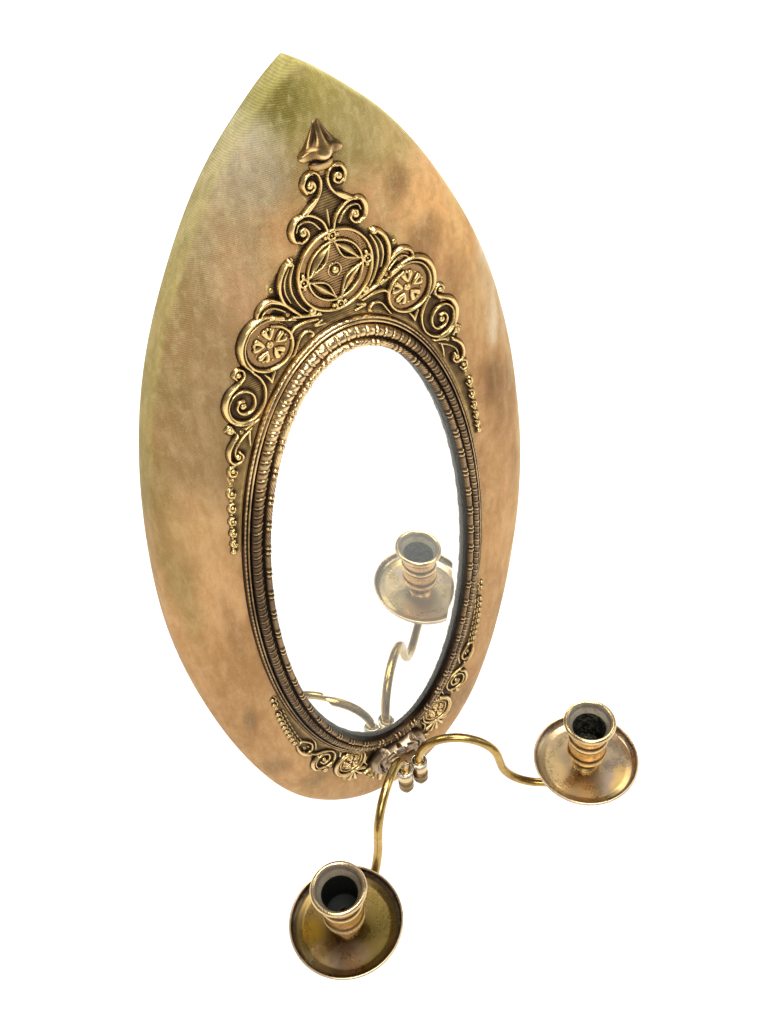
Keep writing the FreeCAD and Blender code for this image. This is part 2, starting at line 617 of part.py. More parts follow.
# --- arm bracket: a flange screwed to the board, and two eyes in front
flange_d0 = D["crown_depth"] - v
tongue_z0 = q("eye_top") - q("eye_tall")
flange = box("bracket_flange", -13.0, 13.0, flange_d0, flange_d0 + 4.0, q("boss_z") - 10.5, q("boss_z") + 10.5)
tongue = box("bracket_tongue", -10.0, 10.0, flange_d0 + 3.0, q("hinge_depth") - 5.0, tongue_z0, q("eye_top"))
pillar = front_cylinder("bracket_pillar", 2.6, flange_d0 + 3.0, 33.0, 0.0, q("boss_screw_z"))
lugs = [flange, tongue, pillar]
for s, n in ((1, "r"), (-1, "l")):
    ex = q("hinge_x") * s
    lugs.append(box("lug_" + n, ex - 3.6, ex + 3.6, q("hinge_depth") - 7.0, q("hinge_depth"), tongue_z0, q("eye_top")))
    lugs.append(cylinder("eye_" + n, q("eye_r"), q("eye_tall"), at(ex, q("hinge_depth"), tongue_z0),
                         ex, q("hinge_depth"), tongue_z0))
bracket_solid = fuse("bracket_solid", lugs)
bores = []
for s, n in ((1, "r"), (-1, "l")):
    ex = q("hinge_x") * s
    bores.append(cylinder("eye_bore_" + n, q("pin_r") + q("pin_gap"), 20.0, at(ex, q("hinge_depth"), tongue_z0 - 5.0),
                          ex, q("hinge_depth"), tongue_z0 - 5.0))
    bores.append(front_cylinder("flange_hole_" + n, 2.1, 10.0, 34.0, 9.4 * s, q("boss_z") - 6.6))
bores.append(front_cylinder("pillar_tap", 1.6, 24.0, 60.0, 0.0, q("boss_screw_z")))
arm_bracket = keep(cut("arm_bracket", bracket_solid, fuse("bracket_bores", bores)), "arm_bracket")

# --- boss: a hollow cast cartouche over the bracket's flange
bd = D["sheet_depth"] + D["sheet"]
rise = D["boss_rise"]
boss_rows = [(1.0, 0.0), (0.985, 0.35), (0.90, 0.68), (0.72, 0.90), (0.45, 1.0)]


def boss_loft(name, inset, lift):
    rows = []
    for i, (k, h) in enumerate(boss_rows):
        rows.append(wide_ellipse("%s_%d" % (name, i), (D["boss_a"] - inset) * k, (D["boss_b"] - inset) * k,
                                 bd + (rise - lift) * h - (0.5 if lift and i == 0 else 0.0), q("boss_z")))
    return loft(name, rows, ruled=True)


boss_out = boss_loft("boss_outside", 0.0, 0.0)
boss_in = boss_loft("boss_inside", D["boss_wall"], D["boss_wall"])
boss_slot = box("boss_slot", -10.4, 10.4, bd, 60.0, tongue_z0 - 0.4, q("eye_top") + 0.4)
boss_lead = front_cylinder("boss_pillar_hole", 2.8, bd - 1.0, 33.05, 0.0, q("boss_screw_z"))
boss_tap = front_cylinder("boss_screw_hole", 1.9, bd, 60.0, 0.0, q("boss_screw_z"))
boss_well = front_cylinder("boss_screw_well", 3.6, 34.2, 60.0, 0.0, q("boss_screw_z"))
boss_trim = band_solid("boss_oval_cut")
boss_shell = cut("boss_shell", cut("boss_trimmed", boss_out, boss_trim), boss_in)
boss = keep(cut("boss", boss_shell, fuse("boss_cuts", [boss_slot, boss_lead, boss_tap, boss_well])), "boss")

# --- screws
def round_screw(head_r, head_h, shank_r, length):
    """A round-head slotted screw, its head upward along +Z, head's seat at z = 0."""
    r = (head_r ** 2 + head_h ** 2) / (2 * head_h)
    ball = Part.makeSphere(r, Vector(0, 0, head_h - r))
    head = ball.common(Part.makeCylinder(head_r + 1, head_h, Vector(0, 0, 0)))
    slot = Part.makeBox(head_r * 2 + 2, head_r * 0.24, head_h, Vector(-head_r - 1, -head_r * 0.12, head_h * 0.5))
    shank = Part.makeCylinder(shank_r, length - 1.5, Vector(0, 0, -(length - 1.5)))
    tip = Part.makeCone(0.2, shank_r, 1.5, Vector(0, 0, -length), Vector(0, 0, 1))
    return head.cut(slot).fuse([shank, tip]).removeSplitter()


def placed(shape, x, depth, z, rot):
    s = shape.copy()
    s.Placement = at(x, depth, z, rot)
    return s


boss_screw = doc.addObject("Part::Feature", "boss_screw")
boss_screw.Shape = round_screw(3.2, 2.0, 1.6, 8.5)
boss_screw.Placement = at(0, 34.2, D["boss_screw_z"], FRONT)
keep(boss_screw, "boss_screw")
bracket_screws = doc.addObject("Part::Feature", "bracket_screws")
bracket_screws.Shape = Part.makeCompound([placed(round_screw(3.2, 1.8, 2.0, 15.0), s * 9.4, flange_d0 + 4.0,
                                                 D["boss_z"] - 6.6, FRONT) for s in (1, -1)])
keep(bracket_screws, "bracket_screws")

# --- hanging plate: brass, let into the back, with a keyhole
plate = box("plate_blank", -14.0, 14.0, 0.0, q("plate_thick"), q("plate_z") - 18.0, q("plate_z") + 24.0)
key_round = front_cylinder("key_round", q("key_r"), -2.0, 6.0, 0.0, q("plate_z"))
key_top = front_cylinder("key_top", q("slot_r"), -2.0, 6.0, 0.0, q("plate_z") + 10.0)
key_slot = box("key_slot", -q("slot_r"), q("slot_r"), -2.0, 6.0, q("plate_z"), q("plate_z") + 10.0)
plate_holes = [key_round, key_top, key_slot]
HANG_SCREWS = [(0.0, D["plate_z"] - 13.0), (0.0, D["plate_z"] + 19.0)]
for i, (hx, hz) in enumerate(HANG_SCREWS):
    plate_holes.append(front_cylinder("plate_screw_hole_%d" % i, 1.7, -2.0, 6.0, hx, hz))
    cone = doc.addObject("Part::Cone", "plate_sink_%d" % i)
    cone.Radius1, cone.Radius2, cone.Height = 3.3, 1.7, 1.6
    cone.Placement = at(hx, 0.0, hz, FRONT)
    plate_holes.append(cone)
hanging_plate = keep(cut("hanging_plate", plate, fuse("plate_holes", plate_holes)), "hanging_plate")

flat_screws = []
for hx, hz in HANG_SCREWS:
    head = Part.makeCone(3.1, 1.6, 1.5, Vector(hx, -0.1, hz), Vector(0, -1, 0))
    slot = Part.makeBox(7, 0.6, 0.8, Vector(hx - 3.5, -0.7, hz - 0.4))
    shank = Part.makeCylinder(1.55, 9.0, Vector(hx, -1.5, hz), Vector(0, -1, 0))
    tip = Part.makeCone(1.55, 0.2, 1.5, Vector(hx, -10.5, hz), Vector(0, -1, 0))
    flat_screws.append(head.cut(slot).fuse([shank, tip]).removeSplitter())
hanging_screws = doc.addObject("Part::Feature", "hanging_screws")
hanging_screws.Shape = Part.makeCompound(flat_screws)
keep(hanging_screws, "hanging_screws")

# ------------------------------------------------------------------- arms
# The rod's path lies in the vertical plane of the arm: it comes up out of the
# eye, arches over, falls at a slight lean, dips, runs level and rises into the
# middle of the pan.
LEAN = 12.0
c_lean, s_lean = math.cos(math.radians(LEAN)), math.sin(math.radians(LEAN))


def arm_path():
    ar, az, dr, rr = D["arch_r"], D["arch_z"], D["dip_r"], D["rise_r"]
    foot_z = D["eye_top"] + 0.2
    p0, p1 = (0.0, foot_z), (0.0, az)
    p2 = (ar + ar * c_lean, az + ar * s_lean)
    cz = D["dip_z"] + dr
    p3z = cz - dr * s_lean
    run = (p2[1] - p3z) / c_lean
    p3 = (p2[0] + run * s_lean, p3z)
    cx = p3[0] + dr * c_lean
    p4, level = (cx, D["dip_z"]), (D["reach"] - rr, D["dip_z"])
    p5 = (D["reach"], D["dip_z"] + rr)
    p6 = (D["reach"], D["pan_z"] - D["pan_thick"] - 2.0)
    return dict(p0=p0, p1=p1, arch=(ar, az), p2=p2, p3=p3, dip=(cx, cz), p4=p4, level=level,
                rise=(D["reach"] - rr, D["dip_z"] + rr), p5=p5, p6=p6)


PATH = arm_path()
print("arm reach from path: %.3f" % PATH["p5"][0])
reach = PATH["p5"][0]


def make_arm(label, sign):
    body = doc.addObject("PartDesign::Body", label)
    sk = new_sketch(body, label + "_path", "XZ_Plane")
    P = PATH
    V = lambda p: Vector(p[0], p[1], 0)
    Z = Vector(0, 0, 1)
    sk.addGeometry(Part.LineSegment(V(P["p0"]), V(P["p1"])), False)
    sk.addGeometry(Part.ArcOfCircle(Part.Circle(V(P["arch"]), Z, D["arch_r"]), math.radians(LEAN), math.pi), False)
    sk.addGeometry(Part.LineSegment(V(P["p2"]), V(P["p3"])), False)
    sk.addGeometry(Part.ArcOfCircle(Part.Circle(V(P["dip"]), Z, D["dip_r"]), math.radians(180 + LEAN), math.radians(270)), False)
    sk.addGeometry(Part.LineSegment(V(P["p4"]), V(P["level"])), False)
    sk.addGeometry(Part.ArcOfCircle(Part.Circle(V(P["rise"]), Z, D["rise_r"]), math.radians(270), math.radians(360)), False)
    sk.addGeometry(Part.LineSegment(V(P["p5"]), V(P["p6"])), False)
    C = Sketcher.Constraint
    # joined end to end and tangent; arcs run counter-clockwise, so the arch's
    # start is at its outer end
    sk.addConstraint(C("Tangent", 0, 2, 1, 2))
    sk.addConstraint(C("Tangent", 1, 1, 2, 1))
    sk.addConstraint(C("Tangent", 2, 2, 3, 1))
    sk.addConstraint(C("Tangent", 3, 2, 4, 1))
    sk.addConstraint(C("Tangent", 4, 2, 5, 1))
    sk.addConstraint(C("Tangent", 5, 2, 6, 1))
    for geo, alias in ((1, "arch_r"), (3, "dip_r"), (5, "rise_r")):
        i = sk.addConstraint(C("Radius", geo, D[alias]))
        sk.setExpression("Constraints[%d]" % i, "dims." + alias)
    prof = new_sketch(body, label + "_section", "XY_Plane", Q(PATH["p0"][1], "(dims.eye_top + 0.2)"))
    g = prof.addGeometry(Part.Circle(Vector(0, 0, 0), Z, D["rod_r"]), False)
    prof.addConstraint(C("Coincident", g, 3, -1, 1))
    i = prof.addConstraint(C("Radius", g, D["rod_r"]))
    prof.setExpression("Constraints[%d]" % i, "dims.rod_r")
    doc.recompute()
    pipe = body.newObject("PartDesign::AdditivePipe", label + "_rod")
    pipe.Profile = prof
    pipe.Spine = (sk, ["Edge%d" % k for k in range(1, 8)])
    pipe.Mode = "Standard"
    doc.recompute()
    # hinge pin below the rod
    pin = new_sketch(body, label + "_pin_section", "XY_Plane", q("eye_top") + 0.2)
    g = pin.addGeometry(Part.Circle(Vector(0, 0, 0), Z, D["pin_r"]), False)
    pin.addConstraint(C("Coincident", g, 3, -1, 1))
    i = pin.addConstraint(C("Radius", g, D["pin_r"]))
    pin.setExpression("Constraints[%d]" % i, "dims.pin_r")
    pad = body.newObject("PartDesign::Pad", label + "_pin")
    pad.Profile = pin
    pad.Reversed = True
    pad.Length = 14.0
    doc.recompute()
    # the seat under the pan and the threaded stud above it
    for name, r, z0, length in (("seat", 5.6, q("pan_z") - q("pan_thick") - 3.0, 3.0),
                                ("stud", q("stud_r"), q("pan_z") - q("pan_thick") - 0.5, 9.0)):
        s2 = new_sketch(body, "%s_%s_section" % (label, name), "XY_Plane", z0)
        g = s2.addGeometry(Part.Circle(Vector(reach, 0, 0), Z, val(r)), False)
        s2.addConstraint(C("PointOnObject", g, 3, -1))
        s2.addConstraint(C("DistanceX", -1, 1, g, 3, reach))
        i = s2.addConstraint(C("Radius", g, val(r)))
        if isinstance(r, Q):
            s2.setExpression("Constraints[%d]" % i, r.text)
        pad = body.newObject("PartDesign::Pad", "%s_%s" % (label, name))
        pad.Profile = s2
        pad.Length = length
        doc.recompute()
    turn = -D["rest_angle"] if sign > 0 else 180.0 + D["rest_angle"]
    body.Placement = at(sign * D["hinge_x"], D["hinge_depth"], 0, Rotation(Vector(0, 0, 1), turn))
    return keep(body, label)


ARMS = ((1, "right"), (-1, "left"))
for sign, side in ARMS:
    make_arm("arm_" + side, sign)

rest = math.radians(D["rest_angle"])
for sign, side in ARMS:
    hx, hd = sign * D["hinge_x"], D["hinge_depth"]
    cx, cd = hx + sign * reach * math.cos(rest), hd + reach * math.sin(rest)
    # collar brazed round the rod over the eye: a ring with a dished top
    lathe("collar_" + side, [(q("rod_r"), 0.0), (q("eye_r") - 0.7, 0.0), (q("eye_r"), 0.8, 0.45), (q("eye_r"), 3.4, 0.5),
                             (q("eye_r") - 1.3, 4.4), (q("eye_r") - 1.6, 3.0), (q("rod_r"), 2.6)],
          at(hx, hd, q("eye_top") + 0.2))
    # acorn nut screwed on the pin's end
    lathe("acorn_nut_" + side, [(0.0, 0.0), (0.9, 0.3), (1.5, 1.5), (1.2, 2.4), (3.0, 3.6, 0.22), (5.4, 8.6, 0.25),
                                (5.6, 14.0), (4.7, 16.0), (5.5, 17.2, 0.5), (5.5, 19.4), (4.6, 21.6),
                                (q("pin_r"), 21.6), (q("pin_r"), 11.0), (0.0, 9.6)],
          at(hx, hd, q("eye_top") - q("eye_tall") - 0.3 - 21.6))
    # drip pan: a shallow dish with an upright rim and a rolled edge
    lathe("drip_pan_" + side, [(q("stud_r") + 0.1, 0.0), (10.0, 0.0), (q("pan_r") - 8.0, 0.6), (q("pan_r") - 4.0, 1.8),
                               (q("pan_r") - 2.1, 3.4), (q("pan_r") - 1.3, 5.6), (q("pan_r") - 1.3, 6.5, 0.8),
                               (q("pan_r"), 6.9, 0.8), (q("pan_r"), 5.7), (q("pan_r") - 1.0, 2.9),
                               (q("pan_r") - 3.3, 0.9), (q("pan_r") - 7.6, -0.4), (10.0, -0.9), (q("stud_r") + 0.1, -0.9)][::-1],
          at(cx, cd, q("pan_z")))
    # candle cup: foot, two ring mouldings round a waist, flared and lipped mouth
    t = q("cup_tall")
    lathe("candle_cup_" + side,
          [(q("stud_r"), 0.0), (8.6, 0.0), (8.8, 1.6), (6.6, 4.0), (6.4, 7.0), (8.6, 10.6, -0.18), (12.0, 14.4),
           (13.3, 15.6, 0.55), (13.3, 18.6), (12.3, 20.0, -0.16), (12.3, 30.6), (13.2, 31.8, 0.6), (13.2, 34.6),
           (12.4, 35.8, -0.12), (13.2, 43.4, -0.10), (q("cup_r") - 0.8, t - 4.0), (q("cup_r"), t - 2.6, 0.5),
           (q("cup_r") - 1.2, t, 0.35), (q("cup_r") - 2.6, t - 0.7), (q("bore_r"), t - q("funnel")),
           (q("bore_r"), t - q("funnel") - q("bore_deep")), (q("stud_r"), t - q("funnel") - q("bore_deep") - 1.2)],
          at(cx, cd, q("pan_z")))

doc.recompute()

# ----------------------------------------------------------------- checking
bad = [o.Name for o in doc.Objects if "Invalid" in o.State or "Error" in o.State]
if bad:
    raise RuntimeError("failed objects: " + ", ".join(bad))
labels = [o.Label for o in SUBPARTS]
if len(set(labels)) != len(labels):
    raise RuntimeError("two sub-parts share a label")
for o in SUBPARTS:
    s = o.Shape
    if s.isNull() or not s.isValid() or not s.Solids:
        raise RuntimeError("bad shape: %s null %s valid %s solids %d" % (o.Label, s.isNull(), s.isValid(), len(s.Solids)))
    b = s.BoundBox
    print("%-18s solids %2d vol %10.1f  x %7.1f %7.1f  y %7.1f %7.1f  z %7.1f %7.1f" % (
        o.Label, len(s.Solids), s.Volume, b.XMin, b.XMax, b.YMin, b.YMax, b.ZMin, b.ZMax))
for o in SUBPARTS:
    o.Shape.exportStep("parts/%s.step" % o.Label)
print("%d sub-parts" % len(SUBPARTS))
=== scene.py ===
import math

import bpy
import numpy as np
from mathutils import Matrix, Vector


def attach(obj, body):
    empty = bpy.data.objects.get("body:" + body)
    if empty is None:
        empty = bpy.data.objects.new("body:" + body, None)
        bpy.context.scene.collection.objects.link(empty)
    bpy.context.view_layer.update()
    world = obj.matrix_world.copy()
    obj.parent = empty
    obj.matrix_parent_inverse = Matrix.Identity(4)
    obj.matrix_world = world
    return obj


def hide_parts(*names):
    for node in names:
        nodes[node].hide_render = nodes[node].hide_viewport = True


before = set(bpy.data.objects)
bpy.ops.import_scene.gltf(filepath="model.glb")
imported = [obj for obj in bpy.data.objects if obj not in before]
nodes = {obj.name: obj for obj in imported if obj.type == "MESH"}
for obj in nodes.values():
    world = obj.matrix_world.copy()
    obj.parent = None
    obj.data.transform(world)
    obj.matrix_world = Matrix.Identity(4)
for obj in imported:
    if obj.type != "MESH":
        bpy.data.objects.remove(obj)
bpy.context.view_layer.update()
MM = 0.001
RNG = np.random.default_rng(7)

# ------------------------------------------------------------------ numbers
OVAL_Z, SIGHT_A, SIGHT_B = -23.0, 66.7, 164.6
SHEET_BACK, SHEET = 23.9, 1.2
PAN_Z = -205.7
CUPS = {"right": (99.27, 119.78), "left": (-99.27, 119.78)}
PINS = [(33.0, 185.4), (27.0, 170.5), (61.2, 118.5), (72.9, 90.4), (79.4, -96.3), (68.0, -152.0), (52.5, -189.0),
        (22.0, -230.5)]


# ------------------------------------------------------------------ geometry
def catmull(pts, step=0.7):
    """A smooth line through the points; every column is carried along."""
    P = np.array(pts, float)
    if len(P) == 2:
        n = max(2, int(np.hypot(*(P[1, :2] - P[0, :2])) / step) + 1)
        t = np.linspace(0, 1, n)[:, None]
        return P[0] * (1 - t) + P[1] * t
    E = np.vstack([2 * P[0] - P[1], P, 2 * P[-1] - P[-2]])
    out = []
    for i in range(1, len(E) - 2):
        p0, p1, p2, p3 = E[i - 1], E[i], E[i + 1], E[i + 2]
        n = max(2, int(np.hypot(*(p2[:2] - p1[:2])) / step))
        t = np.arange(n)[:, None] / n
        out.append(0.5 * (2 * p1 + (p2 - p0) * t + (2 * p0 - 5 * p1 + 4 * p2 - p3) * t ** 2
                          + (3 * p1 - p0 - 3 * p2 + p3) * t ** 3))
    out.append(E[-2][None])
    return np.vstack(out)


def spline1(x, y, xs):
    """Monotone cubic through (x, y), at xs."""
    x, y = np.array(x, float), np.array(y, float)
    h = np.diff(x)
    d = np.diff(y) / h
    m = np.zeros(len(x))
    m[0], m[-1] = d[0], d[-1]
    for i in range(1, len(x) - 1):
        if d[i - 1] * d[i] > 0:
            w1, w2 = 2 * h[i] + h[i - 1], h[i] + 2 * h[i - 1]
            m[i] = (w1 + w2) / (w1 / d[i - 1] + w2 / d[i])
    k = np.clip(np.searchsorted(x, xs) - 1, 0, len(h) - 1)
    t = (xs - x[k]) / h[k]
    return ((2 * t ** 3 - 3 * t ** 2 + 1) * y[k] + (t ** 3 - 2 * t ** 2 + t) * h[k] * m[k]
            + (-2 * t ** 3 + 3 * t ** 2) * y[k + 1] + (t ** 3 - t ** 2) * h[k] * m[k + 1])


def natural_spline(P, n):
    """A C2 curve through the points, by chord length, resampled to n points."""
    P = np.array(P, float)
    s = np.r_[0, np.cumsum(np.hypot(*np.diff(P, axis=0).T))]
    N = len(P)
    h = np.diff(s)
    A = np.zeros((N, N))
    B = np.zeros((N, 2))
    A[0, 0] = A[-1, -1] = 1
    for i in range(1, N - 1):
        A[i, i - 1], A[i, i], A[i, i + 1] = h[i - 1], 2 * (h[i - 1] + h[i]), h[i]
        B[i] = 6 * ((P[i + 1] - P[i]) / h[i] - (P[i] - P[i - 1]) / h[i - 1])
    M = np.linalg.solve(A, B)

    def at(u):
        k = np.clip(np.searchsorted(s, u) - 1, 0, N - 2)
        a, b = (s[k + 1] - u)[:, None], (u - s[k])[:, None]
        hk = h[k][:, None]
        return (M[k] * a ** 3 + M[k + 1] * b ** 3) / (6 * hk) + (P[k] / hk - M[k] * hk / 6) * a \
            + (P[k + 1] / hk - M[k + 1] * hk / 6) * b
    fine = at(np.linspace(0, s[-1], 2000))
    L = np.r_[0, np.cumsum(np.hypot(*np.diff(fine, axis=0).T))]
    want = np.linspace(0, L[-1], n)
    return np.c_[np.interp(want, L, fine[:, 0]), np.interp(want, L, fine[:, 1])]


def noise2(x, y, scale, seed, octaves=3):
    """Smooth value noise, -1 to 1, the same on every run."""
    r = np.random.default_rng(seed)
    total, amp, norm = np.zeros(np.shape(x)), 1.0, 0.0
    for o in range(octaves):
        T = r.uniform(-1, 1, (64, 64))
        u, v = np.asarray(x) / scale * 2 ** o + 100.3, np.asarray(y) / scale * 2 ** o + 57.7
        iu, iv = np.floor(u).astype(int), np.floor(v).astype(int)
        fu, fv = u - iu, v - iv
        fu, fv = fu * fu * (3 - 2 * fu), fv * fv * (3 - 2 * fv)
        a, b = T[iu % 64, iv % 64], T[(iu + 1) % 64, iv % 64]
        c, d = T[iu % 64, (iv + 1) % 64], T[(iu + 1) % 64, (iv + 1) % 64]
        total += amp * ((a * (1 - fu) + b * fu) * (1 - fv) + (c * (1 - fu) + d * fu) * fv)
        norm += amp
        amp *= 0.5
    return total / norm


def oval_at(offset, t):
    """Points at a distance outside the sight edge, at ellipse parameter t."""
    x, z = SIGHT_A * np.cos(t), SIGHT_B * np.sin(t)
    nx, nz = SIGHT_B * np.cos(t), SIGHT_A * np.sin(t)
    k = np.hypot(nx, nz)
    return x + nx / k * offset, OVAL_Z + z + nz / k * offset


def oval_distance(x, z):
    """Signed distance outside the sight edge."""
    a, b = SIGHT_A, SIGHT_B
    px, pz = np.abs(x), np.abs(z - OVAL_Z)
    t = np.arctan2(pz * a, px * b)
    for _ in range(12):
        c, s = np.cos(t), np.sin(t)
        f = (a * a - b * b) * c * s - px * a * s + pz * b * c
        df = (a * a - b * b) * (c * c - s * s) - px * a * c - pz * b * s
        t = np.clip(t - f / np.where(np.abs(df) < 1e-9, -1e-9, df), 0, math.pi / 2)
    d = np.hypot(px - a * np.cos(t), pz - b * np.sin(t))
    return np.where((px / a) ** 2 + (pz / b) ** 2 < 1, -d, d)


def link(ob):
    bpy.context.scene.collection.objects.link(ob)
    return ob


def mesh_object(name, V, faces, attrs=None, sharp=None):
    """A mesh from points (x, depth, z) in mm."""
    V = np.asarray(V, float)
    me = bpy.data.meshes.new(name)
    co = np.c_[V[:, 0], -V[:, 1], V[:, 2]] * MM
    me.from_pydata(co.tolist(), [], [list(map(int, f)) for f in faces])
    me.polygons.foreach_set("use_smooth", np.ones(len(me.polygons), bool))
    for key, val in (attrs or {}).items():
        a = me.attributes.new(key, "FLOAT", "POINT")
        a.data.foreach_set("value", np.asarray(val, np.float32))
    me.validate()
    me.update()
    if sharp:
        me.set_sharp_from_angle(angle=math.radians(sharp))
    return link(bpy.data.objects.new(name, me))


def grid_faces(n, m, wrap_n=False, wrap_m=False, flip=False):
    """Quads of an n by m grid of points, row-major."""
    I = np.arange(n if wrap_n else n - 1)
    J = np.arange(m if wrap_m else m - 1)
    i, j = np.meshgrid(I, J, indexing="ij")
    i2, j2 = (i + 1) % n, (j + 1) % m
    q = np.stack([i * m + j, i2 * m + j, i2 * m + j2, i * m + j2], -1).reshape(-1, 4)
    return q[:, ::-1] if flip else q


def blur(A, r):
    """Three box blurs of radius r cells."""
    for _ in range(3):
        for ax in (0, 1):
            pad = [(0, 0), (0, 0)]
            pad[ax] = (r + 1, r)
            c = np.cumsum(np.pad(A, pad, mode="edge"), axis=ax)
            n = A.shape[ax]
            hi = np.take(c, np.arange(2 * r + 1, 2 * r + 1 + n), axis=ax)
            lo = np.take(c, np.arange(0, n), axis=ax)
            A = (hi - lo) / (2 * r + 1)
    return A


# ------------------------------------------------------------------ pressed relief
class Relief:
    """A height field pressed up from a sheet, with its outline.  Marks are drawn
    for the right half and mirrored."""

    def __init__(self, x0, x1, z0, z1, step, ground=SHEET, warp=0.25, seed=3, fine=1.0):
        self.xs = np.arange(x0, x1 + step / 2, step)
        self.zs = np.arange(z0, z1 + step / 2, step)
        self.step = step
        X, Z = np.meshgrid(self.xs, self.zs)
        self.X, self.Z0 = X, Z
        self.A = np.abs(X + warp * noise2(X, Z, 30, seed, 2))
        self.Z = Z + warp * noise2(X, Z, 30, seed + 1, 2)
        self.G = ground
        self.fine = fine
        self.H = np.full(X.shape, float(ground))
        self.S = np.full(X.shape, -40.0)

    def polygon(self, pts):
        """Fill an outline given for the right half (it may cross the centreline)."""
        P = np.array(pts, float)
        Q = np.roll(P, -1, axis=0)
        best = np.full(self.A.shape, 1e9)
        inside = np.zeros(self.A.shape, bool)
        for a, b in zip(P, Q):
            dx, dz = b - a
            t = np.clip(((self.A - a[0]) * dx + (self.Z - a[1]) * dz) / (dx * dx + dz * dz + 1e-9), 0, 1)
            best = np.minimum(best, np.hypot(self.A - a[0] - t * dx, self.Z - a[1] - t * dz))
            if abs(dz) > 1e-9:
                hit = ((a[1] > self.Z) != (b[1] > self.Z)) & (self.A < a[0] + (self.Z - a[1]) * dx / dz)
                inside ^= hit
        self.S = np.maximum(self.S, np.where(inside, best, -best))

    def _near(self, P, m):
        return (self.A > P[:, 0].min() - m) & (self.A < P[:, 0].max() + m) \
            & (self.Z > P[:, 1].min() - m) & (self.Z < P[:, 1].max() + m)

    def stroke(self, pts, w=0.75, h=1.4, shape="round", rim=0.7, add=False, edge=True):
        """A line of half width w and height h; a point may carry its own w."""
        rows = [(p[0], p[1], p[2] if len(p) > 2 else w, p[3] if len(p) > 3 else h) for p in pts]
        P = catmull(rows)
        P[:, 2] = np.maximum(P[:, 2] * self.fine, 0.25)
        m = P[:, 2].max() + rim + 1.5
        near = self._near(P, m)
        if not near.any():
            return
        ax, az = self.A[near], self.Z[near]
        best = np.full(ax.shape, 1e9)
        bd, bw, bh = np.zeros(ax.shape), np.ones(ax.shape), np.zeros(ax.shape)
        for a, b in zip(P[:-1], P[1:]):
            dx, dz = b[0] - a[0], b[1] - a[1]
            t = np.clip(((ax - a[0]) * dx + (az - a[1]) * dz) / (dx * dx + dz * dz + 1e-9), 0, 1)
            d = np.hypot(ax - a[0] - t * dx, az - a[1] - t * dz)
            ww = a[2] + (b[2] - a[2]) * t
            s = d - ww
            k = s < best
            best[k], bd[k], bw[k] = s[k], d[k], ww[k]
            bh[k] = (a[3] + (b[3] - a[3]) * t)[k]
        q = np.clip(bd / bw, 0, 1)
        if shape == "round":
            f = np.sqrt(1 - q * q)
        elif shape == "wire":
            f = (1 - q * q) ** 1.2
        elif shape == "leaf":
            f = (1 - q) ** 0.75
        elif shape == "groove":       # a raised edge each side of a hollow
            f = np.clip(np.sin(np.clip(q, 0, 1) * math.pi * 0.86 + 0.42), 0, 1) ** 1.0
            f = np.where(q < 0.62, 0.45 + 0.55 * np.sin(q / 0.62 * math.pi / 2) ** 2, np.cos((q - 0.62) / 0.38 * math.pi / 2))
        else:
            f = 0.5 * (1 + np.cos(math.pi * q))
        H = self.H[near]
        self.H[near] = H + bh * f if add else np.where(q < 1, np.maximum(H, self.G + bh * f), H)
        if edge:
            self.S[near] = np.maximum(self.S[near], rim - best)

    def ring(self, cx, cz, r, w=0.75, h=1.6, a0=0, a1=360, **kw):
        n = max(8, int(abs(a1 - a0) / 360 * r * 6.3 / 1.6))
        pts = [(cx + r * math.cos(math.radians(a)), cz + r * math.sin(math.radians(a)))
               for a in np.linspace(a0, a1, n + 1)]
        self.stroke(pts, w, h, **kw)

    def spiral(self, cx, cz, r0, r1, a0, a1, w=0.7, h=1.6, w1=None, **kw):
        n = max(8, int(abs(a1 - a0) / 18))
        k = np.linspace(0, 1, n + 1)
        pts = [(cx + (r0 + (r1 - r0) * t) * math.cos(math.radians(a0 + (a1 - a0) * t)),
                cz + (r0 + (r1 - r0) * t) * math.sin(math.radians(a0 + (a1 - a0) * t)),
                w + ((w1 or w) - w) * t) for t in k]
        self.stroke(pts, w, h, **kw)

    def bead(self, x, z, r, h, rim=0.7, add=False, hollow=0.0):
        d = np.hypot(self.A - x, self.Z - z)
        f = np.sqrt(np.clip(1 - (d / r) ** 2, 0, 1))
        if hollow:
            f = f - hollow * np.clip(1 - (d / (r * 0.5)) ** 2, 0, 1)
        k = d < r
        self.H[k] = self.H[k] + (h * f)[k] if add else np.maximum(self.H, self.G + h * f)[k]
        self.S = np.maximum(self.S, r + rim - d)

    def sink(self, x, z, r, h, soft=0.6):
        """Lower the ground smoothly to height h inside r."""
        d = np.hypot(self.A - x, self.Z - z)
        k = np.clip((r + soft - d) / soft, 0, 1)
        k = k * k * (3 - 2 * k)
        self.H = self.H * (1 - k) + np.minimum(self.H, h) * k

